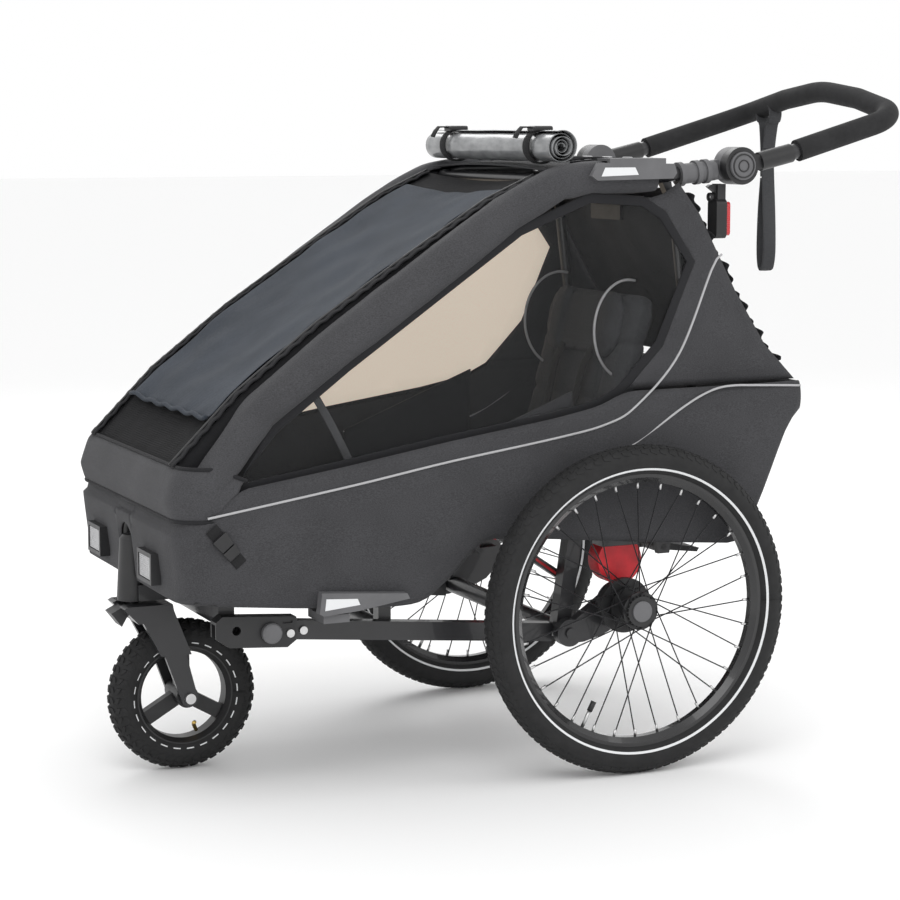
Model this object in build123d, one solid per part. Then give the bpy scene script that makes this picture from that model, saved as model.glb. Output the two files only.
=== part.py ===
from build123d import *
import math
import os

# Child bicycle trailer with a caster wheel, for one child.
# Millimetres. +X points to the push handle, -X to the nose, +Z up, Z = 0 on the ground.
# The left side is -Y. Stations along the body are measured back from the caster stem by at().

os.makedirs("parts", exist_ok=True)

# Overall sizes
LENGTH = 1252.0  # front of the caster tyre to the back of the push handle
WHEELBASE = 617.0  # caster axle to rear axle
TRACK = 618.0  # between the mid-planes of the rear tyres
BODY_W = 528.0  # over the tub sides
HANDLE_TOP = 1044.0  # top of the push handle above the ground
GAP = 0.3  # clear space between pieces that only lie beside each other
RUN = 0.05  # radial clearance of a running fit

# Rear wheels
WHEEL_R = 250.0
TYRE_W = 47.0
TYRE_WALL = 3.5
RIM_R = 209.0
RIM_DEPTH = 15.0
RIM_W = 26.0
SPOKES = 32
SPOKE_R = 1.0
SPOKE_CROSS = 62.0  # degrees that a spoke leans round the hub
FLANGE_R = 29.0
FLANGE_T = 3.0
FLANGE_OUT = 9.0  # outer flange, outboard of the tyre's mid-plane
FLANGE_IN = 26.0  # inner flange, inboard of it
HUB_R = 17.0
DRUM_R = 42.0
DRUM_T = 12.0
DRUM_IN = 48.0  # inboard face of the brake drum, inboard of the mid-plane
AXLE_R = 6.0
BEARING_R = 14.0
BEARING_W = 8.0
HUB_END = 17.0  # outboard end of the hub, outboard of the mid-plane
BUTTON_R = 16.0
BUTTON_TRAVEL = 3.0

# Caster
CASTER_R = 115.2
CASTER_W = 50.0
CASTER_RIM_R = 76.0
CASTER_RIM_W = 40.0
CASTER_HUB_R = 17.0
CASTER_AXLE_R = 5.0
CASTER_SPOKES = 3
TRAIL = 73.3  # from the stem axis back to the caster axle
STEM_R = 20.0
STEM_BOTTOM_R = 24.5
STEM_TOP = 352.0
STEM_BOTTOM = 266.0
LOCK_W = 34.0
LOCK_PIN_R = 2.5
PIN_R = 8.0
CROWN_TOP = 262.0
CROWN_AHEAD = 27.0  # front edge of the fork's crown ahead of the stem axis
FORK_ARM_T = 8.0
FORK_ARM_W = 30.0

# Stations of the whole object
CASTER_X = CASTER_R - LENGTH / 2
AXLE_X = CASTER_X + WHEELBASE
STEM_X = CASTER_X - TRAIL

# Frame
RAIL_Y = 200.0
RAIL_W = 20.0
RAIL_H = 28.0
RAIL_WALL = 2.0
RAIL_FRONT = 74.0  # station of the front end of the rails
RAIL_FRONT_Z = 253.0
RAIL_DROP = 0.093  # fall per length towards the rear
CROSS_R = 11.0
PIVOT_BACK = 76.0  # swing arm pivot ahead of the rear axle
PIVOT_Z = 207.0
PIVOT_R = 8.0
PIVOT_TUBE_R = 14.0
ARM_Y = 222.0  # inner face of a swing arm
ARM_T = 17.0
CARRIER_R = 33.0
CARRIER_T = 18.0
SPRING_R = 37.0
SPRING_T = 34.0
SPRING_Y = 202.0  # inner face of a rubber spring
SPRING_AHEAD = -9.0  # spring axis ahead of the rear axle
SPRING_Z = 313.0

# Body
TUB_Y = BODY_W / 2
TUB_T = 6.0
SHEET_T = 3.0
FLOOR_T = 4.0
UPPER_Y = 248.0  # outer face of the upper side fabric
WINDOW_T = 1.5

# Folding bow, with its pads, roof and cover
BOW_Y = 220.0
BOW_R = 11.0
BOW_WALL = 1.5
PAD_IN = 208.5
PAD_OUT = 262.0
PAD_H = 48.0
BOW_EYE = 14.0  # from the lower end of the pad down to the bow's pivot
BOW_EYE_W = 2 * BOW_R  # width of the eye at the lower end of the bow
BOW_PIN_R = 4.0
ROOF_Z = 894.0
COVER_Y = PAD_IN - 2.5
ROLL_R = 25.0
ROLL_Z = 939.0
ROLL_STATION = 601.0
ROLL_L = 462.0

# Rear legs and seat
LEG_Y = 198.0
LEG_R = 8.5
LEG_PIVOT = 869.0  # station
LEG_PIVOT_Z = 357.0
LEG_TOP = 811.0  # station
LEG_TOP_Z = 820.0
SEAT_W = 370.0
SEAT_FRONT = 394.0  # station
SEAT_BACK = 699.0  # station
SEAT_TOP = 424.0
SEAT_T = 38.0
BACK_HINGE = 708.0  # station
BACK_HINGE_Z = 437.0
BACK_LEAN = 14.0
BACK_L = 292.0
BACK_T = 30.0
BACK_ROD_R = 4.0

# Push handle
HINGE = 895.0  # station of the handle's hinge
HINGE_Z = 909.5
HINGE_R = 28.5
HINGE_PIN_R = 6.0
SOCKET_Y = 213.0  # inner face of a hinge socket
SOCKET_T = 20.0
HUB_T = 19.0
HUB_Y = SOCKET_Y + SOCKET_T + GAP
HUB_FACE = HUB_Y + HUB_T
POCKET = 7.0
CAP_R = 21.5
CAP_TRAVEL = 4.0
ARM_LINE = 243.0  # y of the handle's arms
BAR_R = 12.0
GRIP_R = 17.0
BAR_CORNER = 58.0
BAR_ARCH = 35.0  # rise of the crossbar from its ends to its middle

# Levers
LEVER_R = 4.0
LEVER_STATION = 795.5
LEVER_Z = 856.0
BRAKE_STATION = 792.0
BRAKE_DROP = 19.0  # shaft below the floor's underside
BRAKE_Y = -170.0
BRAKE_R = 5.0

# Drawbar receiver
RECEIVER_L = 122.0
RECEIVER_H = 46.0
RECEIVER_T = 24.0
RECEIVER_BORE_R = 6.5
RECEIVER_BORE = 83.0  # station of the hitch pin's hole
KNOB = 135.0  # station of the locking knob
KNOB_R = 15.0
KNOB_PIN_R = 5.0

SIDES = (("left", -1), ("right", 1))


def at(station):
    """X of a station measured back from the caster stem."""
    return STEM_X + station


def save(node, *solids):
    """Write one sub-part, of one or more solids, to its own file."""
    shape = solids[0] if len(solids) == 1 else Compound(children=list(solids))
    shape.label = node
    export_step(shape, f"parts/{node}.step")


def rod(x, z, radius, y0, y1):
    """A round bar across the body, from y0 to y1."""
    low, high = min(y0, y1), max(y0, y1)
    return Pos(x, low, z) * Rot(-90, 0, 0) * Cylinder(
        radius, high - low, align=(Align.CENTER, Align.CENTER, Align.MIN)
    )


def plate(points, y0, y1):
    """An upright plate whose (x, z) outline runs from y0 to y1."""
    low, high = min(y0, y1), max(y0, y1)
    outline = Plane.XZ * make_face(Polyline(*points, close=True))
    return Pos(0, low, 0) * extrude(outline, high - low, dir=(0, 1, 0))


def beside(points, distance):
    """Points at a distance to the left of an (x, z) line."""
    normals = []
    for (x0, z0), (x1, z1) in zip(points, points[1:]):
        run = math.hypot(x1 - x0, z1 - z0)
        normals.append(((z0 - z1) / run, (x1 - x0) / run))
    moved = []
    for (x, z), before, after in zip(points, normals[:1] + normals, normals + normals[-1:]):
        scale = distance / (1 + before[0] * after[0] + before[1] * after[1])
        moved.append((x + (before[0] + after[0]) * scale, z + (before[1] + after[1]) * scale))
    return moved


def strip(points, thickness, width):
    """A sheet across the body, from an (x, z) line to thickness on its left."""
    return plate(points + beside(points, thickness)[::-1], -width / 2, width / 2)


def tube(path, outer, inner=0.0):
    """A round tube along a path."""
    section = Plane(path @ 0, z_dir=path % 0) * Circle(outer)
    if inner:
        section -= Plane(path @ 0, z_dir=path % 0) * Circle(inner)
    return sweep(section, path=path)


def box(x0, x1, y0, y1, z0, z1):
    """A box between two corners."""
    size = (abs(x1 - x0), abs(y1 - y0), abs(z1 - z0))
    return Pos((x0 + x1) / 2, (y0 + y1) / 2, (z0 + z1) / 2) * Box(*size)


def mirrored(solid):
    """The same piece on the other side."""
    return mirror(solid, about=Plane.XZ)


def pair(left):
    """A left piece and its mirror image."""
    return left, mirrored(left)


def rail_z(x):
    """Height of the rails' centreline."""
    return RAIL_FRONT_Z - RAIL_DROP * (x - at(RAIL_FRONT))


# ---------------------------------------------------------------- frame

PIVOT_X = AXLE_X - PIVOT_BACK
SPRING_X = AXLE_X - SPRING_AHEAD
RAIL_REAR_X = PIVOT_X - PIVOT_TUBE_R - RAIL_H * RAIL_DROP
FLOOR = [
    (at(14), 300),
    (at(176), 288),
    (at(316), 279),
    (at(360), 282),
    (at(408), 323),
    (at(455), 371),
    (at(568), 362),
    (at(729), 346),
    (at(884), 334),
]


LEVER_X = at(LEVER_STATION)
LEG_X = at(LEG_PIVOT)


def floor_z(x):
    """Height of the floor's underside."""
    for (x0, z0), (x1, z1) in zip(FLOOR, FLOOR[1:]):
        if x <= x1:
            return z0 + (z1 - z0) * (x - x0) / (x1 - x0)
    return FLOOR[-1][1]


BRAKE_X = at(BRAKE_STATION)
BRAKE_Z = floor_z(BRAKE_X) - BRAKE_DROP


def side_rails():
    front, rear = at(RAIL_FRONT), RAIL_REAR_X
    line = Line((front, -RAIL_Y, rail_z(front)), (rear, -RAIL_Y, rail_z(rear)))
    start = Plane(line @ 0, x_dir=(0, 1, 0), z_dir=line % 0)
    outer = start * Rectangle(RAIL_W, RAIL_H)
    inner = start * Rectangle(RAIL_W - 2 * RAIL_WALL, RAIL_H - 2 * RAIL_WALL)
    save("side_rails", *pair(sweep(outer - inner, path=line)))


def post(x0, z0, x1, z1, size):
    """A leaning upright from (x0, z0) up to (x1, z1)."""
    half = size / 2
    return plate(
        [(x0 - half, z0), (x0 + half, z0), (x1 + half, z1), (x1 - half, z1)],
        -RAIL_Y - half,
        -RAIL_Y + half,
    )


def frame_tubes():
    inner = RAIL_Y - RAIL_W / 2 - GAP
    front_x, mid_x = at(95), at(330)
    tubes = [rod(x, rail_z(x), CROSS_R, -inner, inner) for x in (front_x, mid_x)]
    rear = rod(PIVOT_X, PIVOT_Z, PIVOT_TUBE_R, -ARM_Y + GAP, ARM_Y - GAP)
    spindle = rod(PIVOT_X, PIVOT_Z, PIVOT_R, -ARM_Y - ARM_T - 4, ARM_Y + ARM_T + 4)
    post_top_x = PIVOT_X + 22
    post_top = floor_z(post_top_x + 12) - GAP
    leaning = post(PIVOT_X, PIVOT_Z, post_top_x, post_top, 24)
    leaning -= rod(PIVOT_X, PIVOT_Z, PIVOT_TUBE_R + GAP, -ARM_Y, ARM_Y)
    front_top = min(floor_z(mid_x - 10), floor_z(mid_x + 10)) - GAP
    front_post = box(mid_x - 10, mid_x + 10, -inner, -inner + 20, rail_z(mid_x), front_top)
    front_post -= rod(mid_x, rail_z(mid_x), CROSS_R + GAP, -ARM_Y, ARM_Y)
    saddle_z = SPRING_Z + SPRING_R * 0.6
    saddle = box(
        SPRING_X - 30,
        SPRING_X + 30,
        -SPRING_Y - SPRING_T,
        -SPRING_Y,
        saddle_z + GAP,
        floor_z(SPRING_X + 30) - GAP,
    )
    uprights = [*pair(leaning), *pair(front_post), *pair(saddle)]
    uprights += [*pair(leg_bearing()), *pair(bow_bearing())]
    save("frame_tubes", *tubes, rear + spindle, *uprights, *brake_bracket())


def bow_bearing():
    """Post on the floor with the pin that the left side of the bow turns on."""
    inner = -BOW_Y - BOW_EYE_W / 2 - GAP
    low = floor_z(BOW_X - 7) + FLOOR_T + GAP
    bearing = box(BOW_X - 7, BOW_X + 7, inner - 12, inner, low, BOW_PIVOT_Z + 8)
    return bearing + rod(BOW_X, BOW_PIVOT_Z, BOW_PIN_R, inner - 6, -BOW_Y + BOW_EYE_W / 2 + 2)


def brace_bars():
    """Flat braces that run down and back from the floor to the rear axle."""
    x1, z1 = AXLE_X - 41, 270
    x0 = AXLE_X - 172
    z0 = floor_z(x0) - GAP - 8
    bar = plate([(x0, z0 - 8), (x1, z1 - 8), (x1, z1 + 6), (x0, z0 + 6)], -184, -168)
    save("brace_bars", *pair(bar))


def elastomer_springs():
    flat = SPRING_Z + SPRING_R * 0.6
    disc = rod(SPRING_X, SPRING_Z, SPRING_R, -SPRING_Y - SPRING_T, -SPRING_Y)
    disc -= box(
        SPRING_X - 60, SPRING_X + 60, -SPRING_Y - SPRING_T - 1, -SPRING_Y + 1, flat, flat + 60
    )
    save("elastomer_springs", *pair(disc))


def stem_bracket():
    """Crosspiece on top of the rails' front ends, with the web that carries the caster stem."""
    front, back = at(RAIL_FRONT) - 10, at(RAIL_FRONT) + 14
    low = rail_z(at(RAIL_FRONT)) + RAIL_H / 2 + GAP
    high = floor_z(back) - 3
    half = RAIL_Y + RAIL_W / 2
    cross = box(front, back, -half, half, low, high)
    web = box(STEM_X, front, -STEM_R - 10, STEM_R + 10, low, high)
    cone = Pos(STEM_X, 0, low) * Cylinder(STEM_BOTTOM_R + GAP, 2 * STEM_TOP)
    save("stem_bracket", cross + web - cone)


def brake_bracket():
    """Hangs from the floor and holds the brake pedal's shaft."""
    cheek = plate(
        [
            (BRAKE_X - 14, floor_z(BRAKE_X - 14) - GAP),
            (BRAKE_X + 14, floor_z(BRAKE_X + 14) - GAP),
            (BRAKE_X + 10, BRAKE_Z - 10),
            (BRAKE_X - 10, BRAKE_Z - 10),
        ],
        BRAKE_Y - 36,
        BRAKE_Y - 26,
    )
    cheek -= rod(BRAKE_X, BRAKE_Z, BRAKE_R + RUN, BRAKE_Y - 60, BRAKE_Y)
    return [cheek, Pos(0, 62, 0) * cheek]


# ---------------------------------------------------------------- drawbar receiver

RECEIVER_Y = RAIL_Y + RAIL_W / 2 + GAP
RECEIVER_AXIS_Z = RAIL_FRONT_Z + 1.0


def drawbar_receiver():
    """Box on the outside of the left rail, open to the front, with a hitch pin hole."""
    x0 = at(52)
    x1 = x0 + RECEIVER_L
    z0, z1 = rail_z(x0) - RECEIVER_H / 2 - 2, rail_z(x0) + RECEIVER_H / 2 - 2
    y0, y1 = -RECEIVER_Y - RECEIVER_T, -RECEIVER_Y
    outline = [
        (x0, z0 + 14),
        (x0 + 20, z0),
        (x1 - 14, z0 - 6),
        (x1, z0 + 4),
        (x1, z1 - 8),
        (x0 + 10, z1),
        (x0, z1 - 8),
    ]
    body = plate(outline, y0, y1)
    mouth = box(x0 - 1, at(KNOB) + KNOB_R, y0 + 4, y1 - 4, z0 + 12, z1 - 12)
    body -= mouth
    body -= rod(at(RECEIVER_BORE), RECEIVER_AXIS_Z, RECEIVER_BORE_R, y0 - 1, y1 + 1)
    knob_z = rail_z(at(KNOB))
    body -= rod(at(KNOB), knob_z, KNOB_PIN_R + RUN, y0 - 1, y0 + 5)
    slot_z = knob_z + 14
    body -= box(at(KNOB) + 18, x1 - 6, y0 - 1, y0 + 3, slot_z - 2, slot_z + 2)
    save("drawbar_receiver", body)
    bolts = [
        rod(at(station), rail_z(at(station)), 6, face - 4, face - GAP)
        for station, face in ((164.0, y0), (193.0, y1))
    ]
    save("receiver_bolts", *bolts)
    head = rod(at(KNOB), knob_z, KNOB_R, y0 - 9, y0 - GAP)
    head = chamfer(head.edges().sort_by(Axis.Y)[0], 2)
    pin = rod(at(KNOB), knob_z, KNOB_PIN_R, y0 - 1, y1 - 6)
    save("drawbar_pin", head + pin)


# ---------------------------------------------------------------- tub

SILL = [
    (at(34), 418),
    (at(52), 430),
    (at(77), 460),
    (at(246), 486),
    (at(397), 512),
    (at(572), 538),
    (at(652), 554),
    (at(692), 574),
]
TUB_BOTTOM = [
    (at(22), 300),
    (at(176), 285),
    (at(316), 276),
    (at(364), 279),
    (at(413), 320),
    (at(457), 367),
    (at(568), 359),
    (at(729), 343),
    (at(896), 330),
]
TUB_REAR = [(at(896), 330), (at(931), 397), (at(965), 485), (at(997), 554), (at(1000), 577)]
SLOPE = [(at(798), 876), (at(826), 836), (at(889), 720), (at(944), 634), (at(998), 579)]
WINDOW_REAR = [(at(758), 643), (at(811), 766), (at(762), 837), (at(727), 858), (at(638), 864)]
PILLAR = [
    (at(30), 448),
    (at(118), 565),
    (at(232), 651),
    (at(372), 748),
    (at(508), 842),
    (at(588), ROOF_Z - 9),
    (at(640), ROOF_Z),
    (at(752), ROOF_Z),
]
WINDOW = SILL[2:] + WINDOW_REAR + beside(PILLAR, -PAD_H / 2 - 5)[4:0:-1]


def floor_pan():
    width = 2 * (TUB_Y - TUB_T - GAP)
    arch_r = STEM_R + 12
    recess = box(at(-40), at(30), -arch_r, arch_r, 290, STEM_TOP)
    save("floor_pan", strip(FLOOR, FLOOR_T, width) - recess)


def tub_sides():
    points = TUB_BOTTOM + TUB_REAR[1:] + SILL[::-1] + [(at(4), 416), (at(4), 330)]
    left = plate(points, -TUB_Y, -TUB_Y + TUB_T)
    save("tub_sides", *pair(left))


def nose_shell():
    """Front of the tub, with the recess that the caster stem stands in."""
    inner = TUB_Y - TUB_T - GAP
    outside = [(at(4), 302), (at(-2), 330), (at(-10), 400), (at(-7), 417)]
    inside = [(at(0), 417), (at(-4), 400), (at(4), 331), (at(11), 302)]
    shell = plate(outside + inside, -inner, inner)
    arch_r = STEM_R + 12
    recess = box(at(-40), at(30), -arch_r, arch_r, 290, STEM_TOP)
    arch = Pos(STEM_X, 0, STEM_TOP) * Rot(0, 90, 0) * Cylinder(arch_r, 80)
    save("nose_shell", shell - recess - arch)


def tub_rear():
    inner = TUB_Y - TUB_T - GAP
    line = [(x - 3, z + 1) for x, z in TUB_REAR]
    save("tub_rear", strip(line, SHEET_T + 1, 2 * inner))


def upper_sides():
    quarter = SILL[-1:] + WINDOW_REAR[:4] + [(at(764), 868), (at(789), 884)] + SLOPE[1:]
    left = plate([(x, z + 1) for x, z in quarter], -UPPER_Y, -UPPER_Y + SHEET_T)
    save("upper_sides", *pair(left))


def side_windows():
    left = plate(WINDOW, -UPPER_Y + SHEET_T + GAP, -UPPER_Y + SHEET_T + GAP + WINDOW_T)
    save("side_windows", *pair(left))


def rear_panel():
    inner = UPPER_Y - SHEET_T - GAP
    line = [*SLOPE[:-1], (at(986), 594)]
    save("rear_panel", strip([(x - 5, z - 3) for x, z in line], SHEET_T, 2 * inner - 8))


def reflectors():
    """Two clear reflectors in housings on the nose."""
    housings, lenses = [], []
    for _, side in SIDES:
        y = side * 132
        housing = box(at(-22), at(-6.5), y - 34, y + 34, 316, 362)
        pocket = box(at(-23), at(-15), y - 28, y + 28, 322, 356)
        housings.append(housing - pocket)
        lenses.append(box(at(-21), at(-15) - GAP, y - 27, y + 27, 323, 355))
    save("reflector_housings", *housings)
    save("nose_reflectors", *lenses)


def corner_clips():
    """Side-release buckles that hold the front cover at the lower corners."""
    body = plate([(at(48), 352), (at(78), 352), (at(78), 412), (at(48), 412)], -TUB_Y - 9, -TUB_Y - GAP)
    save("corner_clips", *pair(body))


def lower_bumpers():
    """Bumper blocks under the tub sides."""
    x0, x1 = at(193), at(333)
    outline = [(x0, 278), (x0 + 6, 274), (x0 + 60, 278), (x1, 290), (x1 - 4, 298), (x0 + 4, 308)]
    block = plate(outline, -TUB_Y - 16, -TUB_Y - GAP)
    foot = box(x0 + 8, x0 + 48, -TUB_Y - 10, -RAIL_Y - RAIL_W / 2 - GAP, 262, 274)
    save("lower_bumpers", *pair(block + foot))


# ---------------------------------------------------------------- bow

PILLAR_R = 70.0
COVER = [
    (at(-4), 421),
    (at(-12), 452),
    (at(0), 487),
    (at(103), 590),
    (at(225), 684),
    (at(365), 777),
    (at(492), 857),
    (at(579), 896),
]
HINGE_X = at(HINGE)
LOWER_RUN = math.dist(PILLAR[0], PILLAR[1])
BOW_X = PILLAR[0][0] - BOW_EYE * (PILLAR[1][0] - PILLAR[0][0]) / LOWER_RUN
BOW_PIVOT_Z = PILLAR[0][1] - BOW_EYE * (PILLAR[1][1] - PILLAR[0][1]) / LOWER_RUN


def bow_path(y):
    """Centreline of one side tube of the bow."""
    points = [(BOW_X, BOW_PIVOT_Z), *PILLAR[1:], (HINGE_X - 30, ROOF_Z + 9)]
    corners = [(x, y, z) for x, z in points]
    return FilletPolyline(*corners, radius=PILLAR_R)


def front_bow():
    half_eye = BOW_EYE_W / 2
    side_tube = tube(bow_path(-BOW_Y), BOW_R, BOW_R - BOW_WALL)
    side_tube += rod(BOW_X, BOW_PIVOT_Z, BOW_R + 1, -BOW_Y - half_eye, -BOW_Y + half_eye)
    side_tube -= rod(BOW_X, BOW_PIVOT_Z, BOW_PIN_R + RUN, -TUB_Y, -PAD_IN + BOW_EYE_W)
    solids = [*pair(side_tube)]
    inner = PAD_IN - GAP
    for station, z in ((ROLL_STATION, ROOF_Z - 4), (770.0, ROOF_Z - 4)):
        solids.append(rod(at(station), z, 9, -inner, inner))
    drop = plate(
        [
            (at(LEG_TOP) - 39, ROOF_Z - 6),
            (at(LEG_TOP) - 23, ROOF_Z - 6),
            (at(LEG_TOP) - 19, ROOF_Z - 26),
            (at(LEG_TOP) - 2, LEG_TOP_Z + 18),
            (at(LEG_TOP) + 6, LEG_TOP_Z - 4),
            (at(LEG_TOP) - 8, LEG_TOP_Z - 4),
            (at(LEG_TOP) - 24, ROOF_Z - 36),
        ],
        -BOW_Y - 3,
        -LEG_Y - LEG_R - GAP,
    )
    drop -= rod(LEVER_X, LEVER_Z, LEVER_R + RUN, -BOW_Y - 9, -LEG_Y)
    drop -= tube(bow_path(-BOW_Y), BOW_R + GAP)
    solids += [drop, mirrored(drop)]
    save("front_bow", *solids)


def pillar_pads():
    points = [(x, 0, z) for x, z in PILLAR]
    path = FilletPolyline(*points, radius=PILLAR_R)
    start = Plane(path @ 0, x_dir=(0, 1, 0), z_dir=path % 0)
    section = start * RectangleRounded(PAD_OUT - PAD_IN, PAD_H, 12)
    hole = start * Pos((PAD_OUT + PAD_IN) / 2 - BOW_Y, 0, 0) * Circle(BOW_R + 2)
    pad = Pos(0, -(PAD_OUT + PAD_IN) / 2, 0) * sweep(section - hole, path=path)
    save("pillar_pads", *pair(pad))


def cover_and_roof():
    """The front cover and the roof, each a sheet between the pads."""
    save("front_cover", strip([(x, z - SHEET_T) for x, z in COVER], SHEET_T, 2 * COVER_Y))
    roof = [(at(582), 903), (at(650), 908), (at(786), 905)]
    save("roof_panel", strip([(x, z - SHEET_T) for x, z in roof], SHEET_T, 2 * COVER_Y))


def roof_roll():
    """Rolled-up rain cover on top of the roof."""
    save("roof_roll", rod(at(ROLL_STATION), ROLL_Z, ROLL_R, -ROLL_L / 2, ROLL_L / 2))


def roof_bumpers():
    """Side bumpers at the rear ends of the pads."""
    x0, x1 = at(628), at(771)
    block = plate(
        [(x0, 897), (x0 + 10, 890), (x1 - 6, 892), (x1, 900), (x1 - 4, 914), (x0 + 12, 916)],
        -PAD_OUT - 10,
        -PAD_OUT - GAP,
    )
    top = ROOF_Z + PAD_H / 2 + GAP
    foot = box(x0 + 30, at(752), -PAD_OUT - 10, -PAD_IN - 22, top, top + 4)
    block += box(x0 + 30, at(752), -PAD_OUT - 10, -PAD_OUT - GAP, 910, top + 4)
    save("roof_bumpers", *pair(block + foot))


def hinge_sockets():
    """Sockets at the rear ends of the bow, with the fixed halves of the handle hinges."""
    path = bow_path(-BOW_Y)
    end = path @ 1
    collar_x = at(800)
    disc = rod(HINGE_X, HINGE_Z, HINGE_R, -SOCKET_Y - SOCKET_T, -SOCKET_Y)
    neck = plate(
        [(end.X - 4, 888), (HINGE_X, HINGE_Z - 18), (HINGE_X, HINGE_Z + 12), (end.X - 4, 918)],
        -BOW_Y - 8,
        -SOCKET_Y - GAP,
    )
    sleeve_line = Line((collar_x, -BOW_Y, ROOF_Z + 2.6), (end.X - 2, -BOW_Y, ROOF_Z + 8.7))
    sleeve = tube(sleeve_line, BOW_R + 4.5)
    rings = [
        tube(Line(sleeve_line @ t, sleeve_line @ (t + 0.12)), BOW_R + 7.5) for t in (0.0, 0.45, 0.7)
    ]
    socket = sleeve + rings + neck + disc
    socket -= tube(path, BOW_R + GAP)
    pin_end = POCKET + GAP - HUB_FACE
    socket += rod(HINGE_X, HINGE_Z, HINGE_PIN_R, pin_end, -SOCKET_Y - 2)
    save("hinge_sockets", *pair(socket))


# ---------------------------------------------------------------- tail light

LIGHT_Y = -BOW_Y
LIGHT_X, LIGHT_Z = at(872), 876.0
LIGHT_PIN_R = 3.0


def tail_light():
    """Clamp on the left socket, and a light that tilts on it."""
    ear_points = [(at(852), 878), (at(866), 868), (at(878), 870), (at(878), 884), (at(864), 886)]
    ear = plate(ear_points, LIGHT_Y - 5, LIGHT_Y + 5)
    bore = rod(LIGHT_X, LIGHT_Z, LIGHT_PIN_R + RUN, LIGHT_Y - 20, LIGHT_Y + 20)
    pass_through = Pos(at(846), LIGHT_Y, ROOF_Z + 5) * Rot(0, 90, 0) * Cylinder(BOW_R + 7.5 + GAP, 80)
    save("light_clamp", ear - bore - pass_through)
    pin = rod(LIGHT_X, LIGHT_Z, LIGHT_PIN_R, LIGHT_Y - 9, LIGHT_Y + 9)
    cheek = box(at(866), at(880), LIGHT_Y - 9, LIGHT_Y - 5 - GAP, 856, 882)
    other = Pos(0, 14 + GAP, 0) * cheek
    shell = box(at(862), at(880), LIGHT_Y - 14, LIGHT_Y + 14, 799, 859)
    shell = fillet(shell.edges().filter_by(Axis.X), 8)
    save("tail_light", shell + cheek + other + pin)
    lens = box(at(880) + GAP, at(887), LIGHT_Y - 12, LIGHT_Y + 12, 803, 855)
    save("tail_lens", fillet(lens.edges().filter_by(Axis.X), 6))


# ---------------------------------------------------------------- rear legs and seat

def rear_legs():
    """Legs that prop the bow up, joined at the bottom by the tube that they turn on."""
    foot = (LEG_X, -LEG_Y, LEG_PIVOT_Z)
    leg = tube(Line(foot, (at(LEG_TOP), -LEG_Y, LEG_TOP_Z)), LEG_R)
    axle = rod(LEG_X, LEG_PIVOT_Z, LEG_R, -LEG_Y - LEG_R, LEG_Y + LEG_R)
    axle += rod(LEG_X, LEG_PIVOT_Z, LEG_R - 3, -LEG_Y - LEG_R - 16, LEG_Y + LEG_R + 16)
    leg -= rod(LEG_X, LEG_PIVOT_Z, LEG_R, -LEG_Y - LEG_R, LEG_Y + LEG_R)
    save("rear_legs", axle, *pair(leg))


def leg_bearing():
    """Block on the floor that holds the left end of the legs' tube."""
    z0 = floor_z(LEG_X - 13) + FLOOR_T + 2 * GAP
    inner = -LEG_Y - LEG_R - GAP
    block = box(LEG_X - 13, LEG_X + 13, inner - 16 + GAP, inner, z0, LEG_PIVOT_Z + 11)
    block -= rod(LEG_X, LEG_PIVOT_Z, LEG_R - 3 + RUN, inner - 20, -LEG_Y)
    return block


def seat():
    """Seat cushion, and the back that folds down on to it."""
    x0, x1 = at(SEAT_FRONT), at(SEAT_BACK)
    cushion = box(x0, x1, -SEAT_W / 2, SEAT_W / 2, SEAT_TOP - SEAT_T, SEAT_TOP)
    cushion = fillet(cushion.edges().filter_by(Axis.Z), 40)
    save("seat_pad", fillet(cushion.edges().sort_by(Axis.Z)[-8:], 12))
    deck_z = SEAT_TOP - SEAT_T - GAP
    deck = box(x0 + 20, x1 + 20, -SEAT_W / 2 + 10, SEAT_W / 2 - 10, deck_z - 5, deck_z)
    rail_x, rod_z = at(BACK_HINGE), BACK_HINGE_Z
    low = deck_z - 5
    lug = plate(
        [(rail_x - 9, low), (rail_x + 9, low), (rail_x + 9, rod_z + 6), (rail_x - 3, rod_z + 6)],
        -SEAT_W / 2 + 12,
        -SEAT_W / 2 + 18,
    )
    lug -= rod(rail_x, rod_z, BACK_ROD_R + RUN, -SEAT_W / 2, -SEAT_W / 2 + 30)
    save("seat_deck", deck + lug + mirrored(lug))


def seat_back():
    """Back panel leaning on its hinge rod, with a headrest in front of its top."""
    lean = Pos(at(BACK_HINGE), 0, BACK_HINGE_Z) * Rot(0, BACK_LEAN, 0)
    half = SEAT_W / 2 - 22
    pad = Pos(BACK_T / 2 + 2, 0, BACK_L / 2 + 6) * Box(BACK_T, 2 * half, BACK_L - 12)
    pad = fillet(pad.edges().filter_by(Axis.X), 36)
    spine = rod(0, 0, BACK_ROD_R, -half - 8, half + 8) + Pos(5, 0, 6) * Box(10, 2 * half - 90, 12)
    save("seat_back", lean * (pad + spine))
    wings = Pos(-9 - GAP, 0, BACK_L - 64) * Box(18, 250, 116)
    wings = fillet(wings.edges().filter_by(Axis.X), 44)
    hollow = Pos(-18 - GAP, 0, BACK_L - 64) * Box(18, 130, 120)
    save("headrest", lean * Pos(2, 0, 0) * (wings - hollow))


# ---------------------------------------------------------------- push handle

BAR_TOP = HANDLE_TOP - GRIP_R
BAR_BACK = LENGTH / 2 - GRIP_R


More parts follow.
